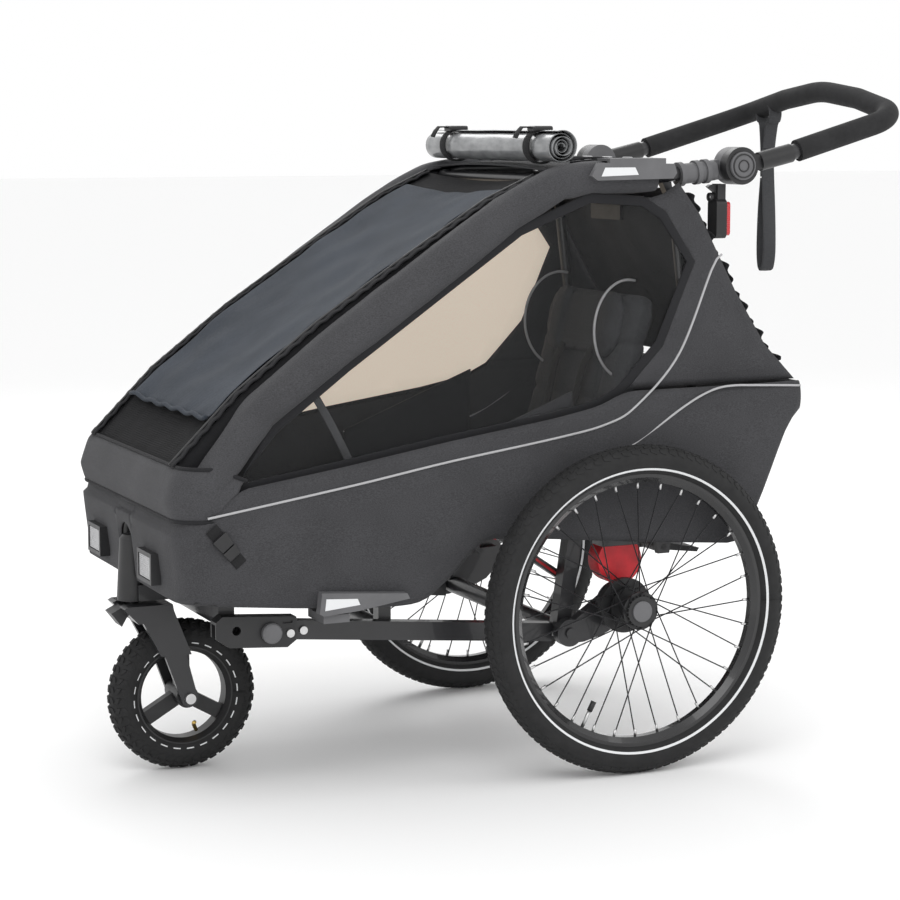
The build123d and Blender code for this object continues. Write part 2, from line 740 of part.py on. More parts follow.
def bar_points():
    """Corners of the handle's centreline, from the left hinge to the right one."""
    left = [
        (HINGE_X + 34, -ARM_LINE, HINGE_Z + 6),
        (HINGE_X + 90, -ARM_LINE, HINGE_Z + 19),
        (BAR_BACK - 10, -ARM_LINE, BAR_TOP - BAR_ARCH - 6),
        (BAR_BACK - 1, -110, BAR_TOP - BAR_ARCH * 0.38),
        (BAR_BACK, 0, BAR_TOP),
    ]
    return left + [(x, -y, z) for x, y, z in left[-2::-1]]


def push_handle():
    corners = bar_points()
    radii = [60, BAR_CORNER, 110, 260, 110, BAR_CORNER, 60]
    bar = FilletPolyline(*corners, radius=radii)
    save("handle_bar", tube(bar, BAR_R, BAR_R - 2))
    first, second = Vector(*corners[1]), Vector(*corners[2])
    start = first + (second - first) * 0.06
    mirror_start = (start.X, -start.Y, start.Z)
    grip = FilletPolyline(tuple(start), *corners[2:-2], mirror_start, radius=radii[1:-1])
    save("handle_grip", tube(grip, GRIP_R, BAR_R + GAP / 2))


def handle_hubs():
    """Turning halves of the hinges, each with a neck for the bar and a pocket for its button."""
    first, second = [Vector(*p) for p in bar_points()[:2]]
    disc = rod(HINGE_X, HINGE_Z, HINGE_R, -HUB_FACE, -HUB_Y)
    neck = plate(
        [
            (HINGE_X + 10, HINGE_Z - 11),
            (HINGE_X + 44, HINGE_Z - 3),
            (HINGE_X + 40, HINGE_Z + 17),
            (HINGE_X + 6, HINGE_Z + 18),
        ],
        -HUB_FACE,
        -HUB_Y - 1,
    )
    sleeve = tube(Line(tuple(first), tuple(second)), BAR_R + 2.5)
    hub = disc + neck + sleeve
    hub -= tube(Line(tuple(first), tuple(second + (second - first))), BAR_R + GAP / 2)
    hub -= rod(HINGE_X, HINGE_Z, CAP_R + GAP, -HUB_FACE - 1, -HUB_FACE + POCKET)
    hub -= rod(HINGE_X, HINGE_Z, HINGE_PIN_R + RUN, -HUB_FACE, -HUB_Y + 1)
    save("handle_hubs", *pair(hub))


def hinge_buttons():
    for name, side in SIDES:
        inner, outer = side * (HUB_FACE - POCKET + CAP_TRAVEL + GAP), side * (HUB_FACE + 4.5)
        cap = rod(HINGE_X, HINGE_Z, CAP_R, inner, outer)
        outer_edge = cap.edges().filter_by(GeomType.CIRCLE).sort_by(Axis.Y)[0 if side < 0 else -1]
        save(f"hinge_button_{name}", fillet(outer_edge, 1.5))


def wrist_strap():
    """Webbing loop that hangs from the far end of the crossbar."""
    x = BAR_BACK - 7
    strap = box(x - 13, x + 13, 153, 158, HANDLE_TOP - 325, BAR_TOP - BAR_ARCH - 14)
    save("wrist_strap", strap)


# ---------------------------------------------------------------- swing arms and rear wheels


def swing_arms():
    """Trailing arms with the fixed stub axles in their carriers."""
    axle_z = WHEEL_R
    outline = [
        (PIVOT_X - 12, PIVOT_Z - 17),
        (PIVOT_X + 24, PIVOT_Z - 15),
        (AXLE_X - 22, axle_z - 50),
        (AXLE_X - 4, axle_z - 42),
        (AXLE_X + 18, axle_z - 20),
        (AXLE_X + 16, axle_z + 12),
        (AXLE_X - 20, axle_z + 10),
        (PIVOT_X + 8, PIVOT_Z + 20),
        (PIVOT_X - 12, PIVOT_Z + 17),
    ]
    for name, side in SIDES:
        arm = plate(outline, side * ARM_Y, side * (ARM_Y + ARM_T))
        arm += rod(PIVOT_X, PIVOT_Z, PIVOT_R + 13, side * ARM_Y, side * (ARM_Y + ARM_T))
        carrier_end = ARM_Y + ARM_T + CARRIER_T
        arm += rod(AXLE_X, axle_z, CARRIER_R, side * (ARM_Y + ARM_T), side * carrier_end)
        arm -= rod(PIVOT_X, PIVOT_Z, PIVOT_R + RUN, side * (ARM_Y - 1), side * (ARM_Y + ARM_T + 1))
        arm -= rod(AXLE_X, axle_z, AXLE_R, side * (ARM_Y + 6), side * (carrier_end + 1))
        axle = rod(AXLE_X, axle_z, AXLE_R, side * (ARM_Y + 6), side * (TRACK / 2 + FLANGE_OUT))
        save(f"swing_arm_{name}", arm, axle)


def wheel_plane(side):
    """Plane on a rear wheel's centre whose normal points outboard."""
    return Plane(origin=(AXLE_X, side * TRACK / 2, WHEEL_R), x_dir=(1, 0, 0), z_dir=(0, side, 0))


def turned(outline):
    """A solid of revolution about Z from a closed (radius, height) outline."""
    return revolve(Plane.XZ * make_face(Polyline(*outline, close=True)), Axis.Z)


def rounded_ring(radius, centre, wall, mouth):
    """A tyre about Z: a round tube open towards the axis inside the mouth radius."""
    section = Plane.XZ * Pos(centre, 0) * (Circle(radius) - Circle(radius - wall))
    return revolve(section, Axis.Z) - Cylinder(mouth, 4 * radius)


def tyre():
    section = TYRE_W / 2
    return rounded_ring(section, WHEEL_R - section, TYRE_WALL, RIM_R + GAP)


def rim():
    """Hollow rim with a well for the tyre."""
    half, inner = RIM_W / 2, RIM_R - RIM_DEPTH
    outline = [
        (RIM_R, half),
        (RIM_R, half - 2),
        (RIM_R - 5, half - 4),
        (RIM_R - 5, 4 - half),
        (RIM_R, 2 - half),
        (RIM_R, -half),
        (RIM_R - 7, -half),
        (inner, -half * 0.45),
        (inner, half * 0.45),
        (RIM_R - 7, half),
    ]
    return turned(outline)


def spokes():
    """Crossed spokes from the two flanges to the rim."""
    reach = RIM_R - RIM_DEPTH - GAP
    solids = []
    for i in range(SPOKES):
        rim_angle = 360.0 / SPOKES * i
        outer_flange, leading = i % 2, (i // 2) % 2
        lean = SPOKE_CROSS if leading else -SPOKE_CROSS
        clear = 1.8 if leading else -1.8
        flange = FLANGE_OUT + FLANGE_T / 2 if outer_flange else -FLANGE_IN - FLANGE_T / 2
        outward = FLANGE_T / 2 + SPOKE_R + 1.6
        hub_end = polar(FLANGE_R - 4, rim_angle + lean, flange + (outward if leading else -outward))
        rim_end = polar(reach, rim_angle, clear)
        solids.append(tube(Line(hub_end, rim_end), SPOKE_R))
    return solids


def polar(radius, angle, height):
    """A point from its radius, its angle in degrees and its height."""
    a = math.radians(angle)
    return (radius * math.cos(a), radius * math.sin(a), height)


def hub_shell():
    """Hub with two flanges, the brake drum and an open outboard end."""
    bore = AXLE_R + 4
    seat = BEARING_R
    outline = [
        (bore, -DRUM_IN + DRUM_T),
        (bore, FLANGE_OUT - BEARING_W),
        (seat, FLANGE_OUT - BEARING_W),
        (seat, FLANGE_OUT),
        (BUTTON_R + GAP, FLANGE_OUT + 2),
        (BUTTON_R + GAP, HUB_END),
        (BUTTON_R + 7, HUB_END),
        (BUTTON_R + 7, FLANGE_OUT + FLANGE_T),
        (FLANGE_R, FLANGE_OUT + FLANGE_T),
        (FLANGE_R, FLANGE_OUT),
        (HUB_R, FLANGE_OUT),
        (HUB_R, -FLANGE_IN),
        (FLANGE_R, -FLANGE_IN),
        (FLANGE_R, -FLANGE_IN - FLANGE_T),
        (HUB_R + 4, -FLANGE_IN - FLANGE_T),
        (HUB_R + 4, -DRUM_IN + DRUM_T),
        (DRUM_R, -DRUM_IN + DRUM_T),
        (DRUM_R, -DRUM_IN + 2),
        (DRUM_R - 4, -DRUM_IN),
        (seat, -DRUM_IN),
        (seat, -DRUM_IN + BEARING_W),
        (bore, -DRUM_IN + BEARING_W),
    ]
    shell = turned(outline)
    bearing = Cylinder(BEARING_R, BEARING_W) - Cylinder(AXLE_R + RUN, 2 * BEARING_W)
    inboard = Pos(0, 0, -DRUM_IN + BEARING_W / 2) * bearing
    outboard = Pos(0, 0, FLANGE_OUT - BEARING_W / 2) * bearing
    return [shell, inboard, outboard]


def release_button():
    """Push button in the hub's end that frees the wheel from its axle."""
    bottom = FLANGE_OUT + 2 + BUTTON_TRAVEL + GAP
    height = HUB_END + 2.5 - bottom
    button = Pos(0, 0, bottom + height / 2) * Cylinder(BUTTON_R, height)
    return fillet(button.edges().filter_by(GeomType.CIRCLE).sort_by(Axis.Z)[-1], 1.2)


def rear_wheels():
    pieces = {
        "rear_tyre": [tyre()],
        "rear_rim": [rim()],
        "rear_spokes": spokes(),
        "rear_hub": hub_shell(),
        "release_button": [release_button()],
    }
    for name, side in SIDES:
        for node, solids in pieces.items():
            save(f"{node}_{name}", *[wheel_plane(side) * solid for solid in solids])


# ---------------------------------------------------------------- caster

LOCK_X = STEM_X - CROWN_AHEAD + 12
LOCK_Z = CROWN_TOP - 10


def caster_stem():
    """Tapered housing bolted to the front of the frame, with the swivel's bore."""
    top = STEM_TOP + 13
    outline = [
        (0, top),
        (STEM_R - 6, top),
        (STEM_R - 1, top - 6),
        (STEM_BOTTOM_R, STEM_BOTTOM),
        (PIN_R + RUN, STEM_BOTTOM),
        (PIN_R + RUN, STEM_TOP - 10),
        (0, STEM_TOP - 10),
    ]
    save("caster_stem", Pos(STEM_X, 0, 0) * turned(outline))


def caster_fork():
    """Crown with the swivel pin, and two arms that trail down to the axle."""
    inner = CASTER_W / 2 + 9
    outer = inner + FORK_ARM_T
    x0, x1 = STEM_X - CROWN_AHEAD, STEM_X + 52
    crown = plate(
        [
            (x0, CROWN_TOP - 3),
            (x0 + 6, CROWN_TOP),
            (x1 - 4, CROWN_TOP),
            (x1, CROWN_TOP - 22),
            (x0 + 22, CROWN_TOP - 27),
        ],
        -outer - 3,
        outer + 3,
    )
    half = FORK_ARM_W / 2
    fork = crown
    for side in (-1, 1):
        upper = plate(
            [
                (STEM_X - 7, CROWN_TOP - 8),
                (x1 - 3, CROWN_TOP - 8),
                (CASTER_X + 3, CASTER_R + 68),
                (CASTER_X - 44, CASTER_R + 68),
            ],
            side * inner,
            side * (outer + 3),
        )
        lower = plate(
            [
                (CASTER_X - 40, CASTER_R + 74),
                (CASTER_X - 6, CASTER_R + 74),
                (CASTER_X + half - 3, CASTER_R + 4),
                (CASTER_X - half + 3, CASTER_R - 4),
            ],
            side * inner,
            side * outer,
        )
        end = rod(CASTER_X, CASTER_R, half - 2, side * inner, side * outer)
        fork += upper + lower + end
    fork -= rod(CASTER_X, CASTER_R, CASTER_AXLE_R + RUN, -outer - 5, outer + 5)
    pin_top = STEM_TOP - 14
    fork += Pos(STEM_X, 0, (CROWN_TOP - 4 + pin_top) / 2) * Cylinder(PIN_R, pin_top - CROWN_TOP + 4)
    half_slot = LOCK_W / 2 + GAP
    fork -= box(x0 - 1, LOCK_X + 8, -half_slot, half_slot, CROWN_TOP - 40, CROWN_TOP + 1)
    fork += rod(LOCK_X, LOCK_Z, LOCK_PIN_R, -half_slot - 5, half_slot + 5)
    save("caster_fork", fork)
    bolt = rod(CASTER_X, CASTER_R, CASTER_AXLE_R, -outer - 1, outer + 1)
    heads = [rod(CASTER_X, CASTER_R, 8, s * (outer + GAP), s * (outer + 6)) for s in (-1, 1)]
    save("caster_axle", bolt + heads)


def swivel_lock():
    """Pedal on the crown that locks the caster straight."""
    pedal = plate(
        [
            (LOCK_X - 24, LOCK_Z - 3),
            (LOCK_X - 6, LOCK_Z + 6),
            (LOCK_X + 4, LOCK_Z + 6),
            (LOCK_X + 5, LOCK_Z - 4),
            (LOCK_X - 1, LOCK_Z - 12),
            (LOCK_X - 8, LOCK_Z - 24),
        ],
        -LOCK_W / 2,
        LOCK_W / 2,
    )
    save("swivel_lock", pedal - rod(LOCK_X, LOCK_Z, LOCK_PIN_R + RUN, -LOCK_W, LOCK_W))


def caster_wheel():
    plane = Plane(origin=(CASTER_X, 0, CASTER_R), x_dir=(1, 0, 0), z_dir=(0, -1, 0))
    section = CASTER_W / 2
    carcass = rounded_ring(section, CASTER_R - section, 4.0, CASTER_RIM_R + GAP)
    save("caster_tyre", plane * carcass)
    half = CASTER_RIM_W / 2
    barrel = turned(
        [
            (CASTER_RIM_R, half),
            (CASTER_RIM_R, -half),
            (CASTER_RIM_R - 3, -half),
            (CASTER_RIM_R - 9, -half + 8),
            (CASTER_RIM_R - 9, half - 8),
            (CASTER_RIM_R - 3, half),
        ]
    )
    wheel = barrel + Cylinder(CASTER_HUB_R, 2 * CASTER_W / 2 + 12)
    for i in range(CASTER_SPOKES):
        arm = Pos(CASTER_RIM_R / 2, 0, 0) * Box(CASTER_RIM_R - 10, 22, 16)
        wheel += Rot(0, 0, 90 + 360.0 / CASTER_SPOKES * i) * arm
    wheel -= Cylinder(CASTER_AXLE_R + RUN, 4 * CASTER_W)
    save("caster_rim", plane * wheel)


# ---------------------------------------------------------------- levers


def fold_lever():
    """Release bar behind the rear legs, which turns in the bow's brackets."""
    reach = BOW_Y - 3
    bar = rod(LEVER_X, LEVER_Z, LEVER_R, -reach, reach)
    grip = box(LEVER_X - 3, LEVER_X + 3, -50, 50, LEVER_Z - 34, LEVER_Z)
    finger = plate(
        [
            (LEVER_X - 5, LEVER_Z),
            (LEVER_X + 4, LEVER_Z),
            (LEVER_X + 9, LEVER_Z - 34),
            (LEVER_X + 2, LEVER_Z - 34),
        ],
        -LEG_Y + LEG_R + GAP,
        -LEG_Y + LEG_R + 7,
    )
    save("fold_lever", bar + grip + finger + mirrored(finger))


def brake_pedal():
    """Parking brake pedal under the rear of the floor."""
    shaft = rod(BRAKE_X, BRAKE_Z, BRAKE_R, BRAKE_Y - 36, BRAKE_Y + 36)
    eye = rod(BRAKE_X, BRAKE_Z, BRAKE_R + 5, BRAKE_Y - 24, BRAKE_Y + 24)
    arm = plate(
        [
            (BRAKE_X, BRAKE_Z - 6),
            (BRAKE_X + 66, BRAKE_Z - 14),
            (BRAKE_X + 70, BRAKE_Z - 8),
            (BRAKE_X, BRAKE_Z + 6),
        ],
        BRAKE_Y - 24,
        BRAKE_Y + 24,
    )
    save("brake_pedal", shaft + eye + arm)


# ---------------------------------------------------------------- build

side_rails()
frame_tubes()
brace_bars()
elastomer_springs()
stem_bracket()
drawbar_receiver()
floor_pan()
tub_sides()
nose_shell()
tub_rear()
upper_sides()
side_windows()
rear_panel()
reflectors()
corner_clips()
lower_bumpers()
front_bow()
pillar_pads()
cover_and_roof()
roof_roll()
roof_bumpers()
hinge_sockets()
tail_light()
rear_legs()
seat()
seat_back()
push_handle()
handle_hubs()
hinge_buttons()
wrist_strap()
swing_arms()
rear_wheels()
caster_stem()
caster_fork()
swivel_lock()
caster_wheel()
fold_lever()
brake_pedal()
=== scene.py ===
import math
import random

import bmesh
import bpy
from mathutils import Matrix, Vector, geometry, noise


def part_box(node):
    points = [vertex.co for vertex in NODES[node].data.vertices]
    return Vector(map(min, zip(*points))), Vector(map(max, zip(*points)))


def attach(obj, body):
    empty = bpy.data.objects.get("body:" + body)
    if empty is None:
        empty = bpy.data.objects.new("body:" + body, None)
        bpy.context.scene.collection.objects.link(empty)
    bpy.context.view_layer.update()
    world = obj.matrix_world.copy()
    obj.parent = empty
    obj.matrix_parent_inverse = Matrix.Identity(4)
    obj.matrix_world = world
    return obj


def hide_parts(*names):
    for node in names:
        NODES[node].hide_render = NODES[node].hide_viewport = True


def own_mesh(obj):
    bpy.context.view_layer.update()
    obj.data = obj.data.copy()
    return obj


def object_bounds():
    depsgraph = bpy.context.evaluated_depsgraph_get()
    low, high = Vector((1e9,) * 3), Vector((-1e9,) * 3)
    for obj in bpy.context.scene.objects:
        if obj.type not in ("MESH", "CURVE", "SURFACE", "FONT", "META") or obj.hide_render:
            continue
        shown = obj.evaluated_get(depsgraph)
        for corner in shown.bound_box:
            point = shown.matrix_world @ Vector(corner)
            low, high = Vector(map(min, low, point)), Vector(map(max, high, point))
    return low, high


# Child bicycle trailer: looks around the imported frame. Metres, +X to the push handle, +Z up.
# The left side, with the drawbar receiver and the tail light, is -Y.

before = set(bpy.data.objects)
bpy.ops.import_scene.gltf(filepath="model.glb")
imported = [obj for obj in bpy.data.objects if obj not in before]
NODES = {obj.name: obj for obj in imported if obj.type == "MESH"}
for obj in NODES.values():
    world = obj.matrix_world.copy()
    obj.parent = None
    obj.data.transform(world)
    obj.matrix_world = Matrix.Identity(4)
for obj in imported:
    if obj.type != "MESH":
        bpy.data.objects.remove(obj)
CAD_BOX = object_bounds()
SIDES = (("left", -1), ("right", 1))


# ---------------------------------------------------------------- meshes


def piece(name, points, faces, material, smooth=True):
    """A new mesh object with one material."""
    mesh = bpy.data.meshes.new(name)
    mesh.from_pydata([tuple(p) for p in points], [], faces)
    mesh.validate()
    mesh.polygons.foreach_set("use_smooth", [smooth] * len(mesh.polygons))
    mesh.materials.append(material)
    obj = bpy.data.objects.new(name, mesh)
    bpy.context.scene.collection.objects.link(obj)
    return obj


def grid(name, rows, material, around=False, caps=False, smooth=True):
    """A surface through rows of points; around closes each row, caps fills the two ends."""
    count = len(rows[0])
    points = [p for row in rows for p in row]
    faces = []
    for i in range(len(rows) - 1):
        for j in range(count if around else count - 1):
            k = (j + 1) % count
            faces.append((i * count + j, i * count + k, (i + 1) * count + k, (i + 1) * count + j))
    if caps:
        faces.append(tuple(range(count))[::-1])
        faces.append(tuple(range(len(points) - count, len(points))))
    return piece(name, points, faces, material, smooth)


def finished(obj):
    """The object with its modifiers applied."""
    view = bpy.context.evaluated_depsgraph_get()
    mesh = bpy.data.meshes.new_from_object(obj.evaluated_get(view))
    obj.modifiers.clear()
    obj.data = mesh
    return obj


def thicken(obj, thickness, offset=-1.0):
    """A sheet given a thickness."""
    mod = obj.modifiers.new("thickness", "SOLIDIFY")
    mod.thickness, mod.offset = thickness, offset
    return finished(obj)


def subdivide(obj, levels=1):
    """A piece with a smoother, finer mesh."""
    mod = obj.modifiers.new("subdivision", "SUBSURF")
    mod.levels = mod.render_levels = levels
    return finished(obj)


def soften(obj, width, segments=2):
    """Small rounded edges on a hard piece."""
    mod = obj.modifiers.new("edges", "BEVEL")
    mod.width, mod.segments, mod.limit_method, mod.angle_limit = width, segments, "ANGLE", 0.6
    return obj


def joined(name, objects):
    """Several pieces of one kind as one object."""
    points, faces, smooth = [], [], []
    for obj in objects:
        start = len(points)
        points += [obj.matrix_world @ v.co for v in obj.data.vertices]
        for face in obj.data.polygons:
            faces.append([start + i for i in face.vertices])
            smooth.append(face.use_smooth)
    made = piece(name, points, faces, objects[0].data.materials[0])
    made.data.polygons.foreach_set("use_smooth", smooth)
    for obj in objects:
        bpy.data.objects.remove(obj)
    return made


def mirrored(obj, name):
    """A copy of a piece on the other side."""
    points = [(v.co.x, -v.co.y, v.co.z) for v in obj.data.vertices]
    faces = [tuple(f.vertices)[::-1] for f in obj.data.polygons]
    made = piece(name, points, faces, obj.data.materials[0])
    for material in list(obj.data.materials)[1:]:
        made.data.materials.append(material)
    made.data.polygons.foreach_set("material_index", [f.material_index for f in obj.data.polygons])
    made.data.polygons.foreach_set("use_smooth", [f.use_smooth for f in obj.data.polygons])
    return made


def circle(radius, sides=12, squeeze=1.0):
    """A round section, flattened by squeeze."""
    turn = 2 * math.pi / sides
    return [(radius * math.cos(turn * i), radius * squeeze * math.sin(turn * i)) for i in range(sides)]


def flat(width, thickness, crown=0.3):
    """A webbing section with slightly raised middle."""
    half, t = width / 2, thickness / 2
    top = [(half, t * 0.4), (half * 0.8, t), (0, t * (1 + crown)), (-half * 0.8, t), (-half, t * 0.4)]
    return top + [(u, -v) for u, v in reversed(top)]


def sweep(name, line, section, across, material, caps=True, closed=False):
    """A section carried along a line; across is the direction of the section's width."""
    line = [Vector(p) for p in line]
    across = Vector(across)
    rows = []
    for i, p in enumerate(line):
        before = line[i - 1] if i or closed else line[0]
        after = line[(i + 1) % len(line)] if closed else line[min(i + 1, len(line) - 1)]
        tangent = (after - before).normalized()
        side = (across - tangent * across.dot(tangent)).normalized()
        up = tangent.cross(side)
        rows.append([p + side * u + up * v for u, v in section])
    if closed:
        rows.append(rows[0])
    return grid(name, rows, material, around=True, caps=caps and not closed)


def curve(points, step=0.008):
    """A smooth line through points, with steps of about one length."""
    points = [Vector(p) for p in points]
    ends = [points[0] * 2 - points[1], *points, points[-1] * 2 - points[-2]]
    line = []
    for a, b, c, d in zip(ends, ends[1:], ends[2:], ends[3:]):
        count = max(2, round((c - b).length / step))
        for i in range(count):
            t = i / count
            line.append(
                0.5 * (2 * b + (c - a) * t + (2 * a - 5 * b + 4 * c - d) * t ** 2
                       + (3 * b - a - 3 * c + d) * t ** 3)
            )
    return line + [points[-1]]


def ring_line(centre, radius, normal="Y", count=48):
    """Points round a circle whose normal is an axis."""
    line = []
    for i in range(count):
        a = 2 * math.pi * i / count
        u, v = radius * math.cos(a), radius * math.sin(a)
        offset = {"X": (0, u, v), "Y": (u, 0, v), "Z": (u, v, 0)}[normal]
        line.append(Vector(centre) + Vector(offset))
    return line


def block(name, low, high, material, round_=0.002):
    """A box with rounded edges between two corners."""
    x0, y0, z0 = low
    x1, y1, z1 = high
    points = [(x, y, z) for x in (x0, x1) for y in (y0, y1) for z in (z0, z1)]
    faces = [(0, 1, 3, 2), (4, 6, 7, 5), (0, 4, 5, 1), (2, 3, 7, 6), (0, 2, 6, 4), (1, 5, 7, 3)]
    made = piece(name, points, faces, material, smooth=False)
    return finished(soften(made, round_))


def turned(name, outline, centre, side, material, count=64):
    """A solid of revolution about Y: outline is (radius, outboard distance) pairs."""
    if side < 0:
        outline = outline[::-1]
    rows = []
    for i in range(count + 1):
        a = 2 * math.pi * i / count
        rows.append([
            Vector(centre) + Vector((r * math.cos(a), side * out, r * math.sin(a))) for r, out in outline
        ])
    return grid(name, rows, material)


# ---------------------------------------------------------------- shapes read from the frame


def end_outline(node, side):
    """Outline, as ordered (x, z) points, of a CAD plate's flat end on one side."""
    mesh = NODES[node].data
    face_y = side * max(side * v.co.y for v in mesh.vertices)
    cap = [f for f in mesh.polygons if all(abs(mesh.vertices[i].co.y - face_y) < 1e-5 for i in f.vertices)]
    count, place = {}, {}
    for face in cap:
        corners = []
        for i in face.vertices:
            co = mesh.vertices[i].co
            key = (round(co.x, 5), round(co.z, 5))
            place[key] = (co.x, co.z)
            corners.append(key)
        for a, b in zip(corners, corners[1:] + corners[:1]):
            pair = frozenset((a, b))
            count[pair] = count.get(pair, 0) + 1
    links = {}
    for pair, uses in count.items():
        if uses == 1 and len(pair) == 2:
            a, b = pair
            links.setdefault(a, []).append(b)
            links.setdefault(b, []).append(a)
    start = min(links)
    loop, last = [start], None
    while True:
        here = loop[-1]
        following = [k for k in links[here] if k != last]
        if not following or following[0] == start or len(loop) > len(links):
            break
        last = here
        loop.append(following[0])
    return [place[k] for k in loop]


def outer_line(node):
    """The outer (x, z) line of a CAD sheet that runs across the body, from its front end."""
    loop = end_outline(node, 1)
    count = len(loop)
    lengths = [(math.dist(loop[i], loop[(i + 1) % count]), i) for i in range(count)]
    first, second = sorted(i for _, i in sorted(lengths)[:2])
    one = loop[first + 1:second + 1]
    other = loop[second + 1:] + loop[:first + 1]
    lines = []
    for line in (one, other):
        lines.append(line if line[0][0] < line[-1][0] else line[::-1])
    middle = [sum(p[1] for p in line) / len(line) + sum(p[0] for p in line) / len(line) * OUTWARD.get(node, 0)
              for line in lines]
    return lines[0] if middle[0] > middle[1] else lines[1]


OUTWARD = {"front_cover": -1, "rear_panel": 1, "tub_rear": 1, "roof_panel": 0}


def span(outline, x):
    """Lowest and highest z of an (x, z) outline at x."""
    hits = []
    for (x0, z0), (x1, z1) in zip(outline, outline[1:] + outline[:1]):
        if x0 != x1 and min(x0, x1) <= x <= max(x0, x1):
            hits.append(z0 + (z1 - z0) * (x - x0) / (x1 - x0))
    return (min(hits), max(hits)) if hits else None


def at_height(line, z):
    """X of an (x, z) line at a height, nearest its front."""
    for (x0, z0), (x1, z1) in zip(line, line[1:]):
        if min(z0, z1) <= z <= max(z0, z1) and z0 != z1:
            return x0 + (x1 - x0) * (z - z0) / (z1 - z0)
    return line[0][0] if z < line[0][1] else line[-1][0]


def along(line, share):
    """Point at a share of an (x, z) line's length."""
    runs = [math.dist(a, b) for a, b in zip(line, line[1:])]
    left = share * sum(runs)
    for (a, b), run in zip(zip(line, line[1:]), runs):
        if left <= run or b == line[-1]:
            t = min(1.0, left / run)
            return (a[0] + (b[0] - a[0]) * t, a[1] + (b[1] - a[1]) * t)
        left -= run


def inside(point, outline):
    """Whether an (x, z) point is inside an outline."""
    x, z = point
    crossings = 0
    for (x0, z0), (x1, z1) in zip(outline, outline[1:] + outline[:1]):
        if (z0 > z) != (z1 > z) and x < x0 + (x1 - x0) * (z - z0) / (z1 - z0):
            crossings += 1
    return crossings % 2 == 1


def edge_distance(point, outline):
    """Distance from an (x, z) point to an outline."""
    p = Vector(point)
    best = 1.0
    for a, b in zip(outline, outline[1:] + outline[:1]):
        a, b = Vector(a), Vector(b)
        t = max(0.0, min(1.0, (p - a).dot(b - a) / max((b - a).length_squared, 1e-12)))
        best = min(best, (p - a - (b - a) * t).length)
    return best


def panel(name, outline, y, material, bulge, step=0.012):
    """A fabric panel inside an (x, z) outline; bulge(x, z, distance to the edge) gives its y offset."""
    edge = []
    for a, b in zip(outline, outline[1:] + outline[:1]):
        count = max(1, round(math.dist(a, b) / step))
        edge += [
            Vector((a[0] + (b[0] - a[0]) * i / count, a[1] + (b[1] - a[1]) * i / count)) for i in range(count)
        ]
    loop = [(i, (i + 1) % len(edge)) for i in range(len(edge))]
    low_x, high_x = min(p[0] for p in outline), max(p[0] for p in outline)
    low_z, high_z = min(p[1] for p in outline), max(p[1] for p in outline)
    filling = []
    for i in range(int((high_x - low_x) / step) + 1):
        for j in range(int((high_z - low_z) / step) + 1):
            p = (low_x + step * (i + (j % 2) / 2), low_z + step * j)
            if inside(p, outline) and edge_distance(p, outline) > step * 0.45:
                filling.append(Vector(p))
    flat_points, _, faces, _, _, _ = geometry.delaunay_2d_cdt(edge + filling, loop, [], 1, 1e-6)
    points = []
    for p in flat_points:
        d = edge_distance(p, outline)
        points.append((p.x, y + bulge(p.x, p.y, d), p.y))
    return piece(name, points, [tuple(f) for f in faces], material)


def wrinkle(x, y, z, size, seed=0.0):
    """A smooth random height, from -1 to 1, with waves of about one size."""
    return noise.noise(Vector((x / size + seed, y / size, z / size)))


# ---------------------------------------------------------------- materials


def shader(name, colour, roughness, metallic=0.0, coat=0.0, sheen=0.0, alpha=1.0):
    """A material with a Principled shader, its nodes and its links."""
    mat = bpy.data.materials.new(name)
    mat.use_nodes = True
    bsdf = mat.node_tree.nodes["Principled BSDF"]
    bsdf.inputs["Base Color"].default_value = (*colour, 1)
    bsdf.inputs["Roughness"].default_value = roughness
    bsdf.inputs["Metallic"].default_value = metallic
    bsdf.inputs["Coat Weight"].default_value = coat
    bsdf.inputs["Sheen Weight"].default_value = sheen
    bsdf.inputs["Sheen Roughness"].default_value = 0.4
    bsdf.inputs["Alpha"].default_value = alpha
    return mat


def add(mat, kind, **values):
    """A shader node with some of its properties or inputs set."""
    made = mat.node_tree.nodes.new("ShaderNode" + kind)
    for key, value in values.items():
        if hasattr(made, key):
            setattr(made, key, value)
        else:
            made.inputs[key.replace("_", " ")].default_value = value
    return made


def link(mat, output, target):
    """Joins a node output to an input."""
    mat.node_tree.links.new(output, target)


def place(mat, scale=(1, 1, 1)):
    """Object coordinates, stretched."""
    coords = add(mat, "TexCoord")
    mapping = add(mat, "Mapping")
    mapping.inputs["Scale"].default_value = scale
    link(mat, coords.outputs["Object"], mapping.inputs["Vector"])
    return mapping.outputs["Vector"]


def noisy(mat, size, detail=3.0, stretch=(1, 1, 1)):
    """Noise with blobs of about one size in metres."""
    made = add(mat, "TexNoise", Scale=1 / size, Detail=detail)
    link(mat, place(mat, stretch), made.inputs["Vector"])
    return made.outputs["Fac"]


def bands(mat, pitch, direction):
    """Parallel ridges across an axis."""
    made = add(mat, "TexWave", bands_direction=direction, Scale=0.314 / pitch)
    link(mat, place(mat), made.inputs["Vector"])
    return made.outputs["Fac"]


def combine(mat, operation, a, b):
    """Output of a maths node on two numbers or outputs."""
    made = add(mat, "Math", operation=operation)
    for value, target in ((a, made.inputs[0]), (b, made.inputs[1])):
        if isinstance(value, float):
            target.default_value = value
        else:
            link(mat, value, target)
    return made.outputs[0]


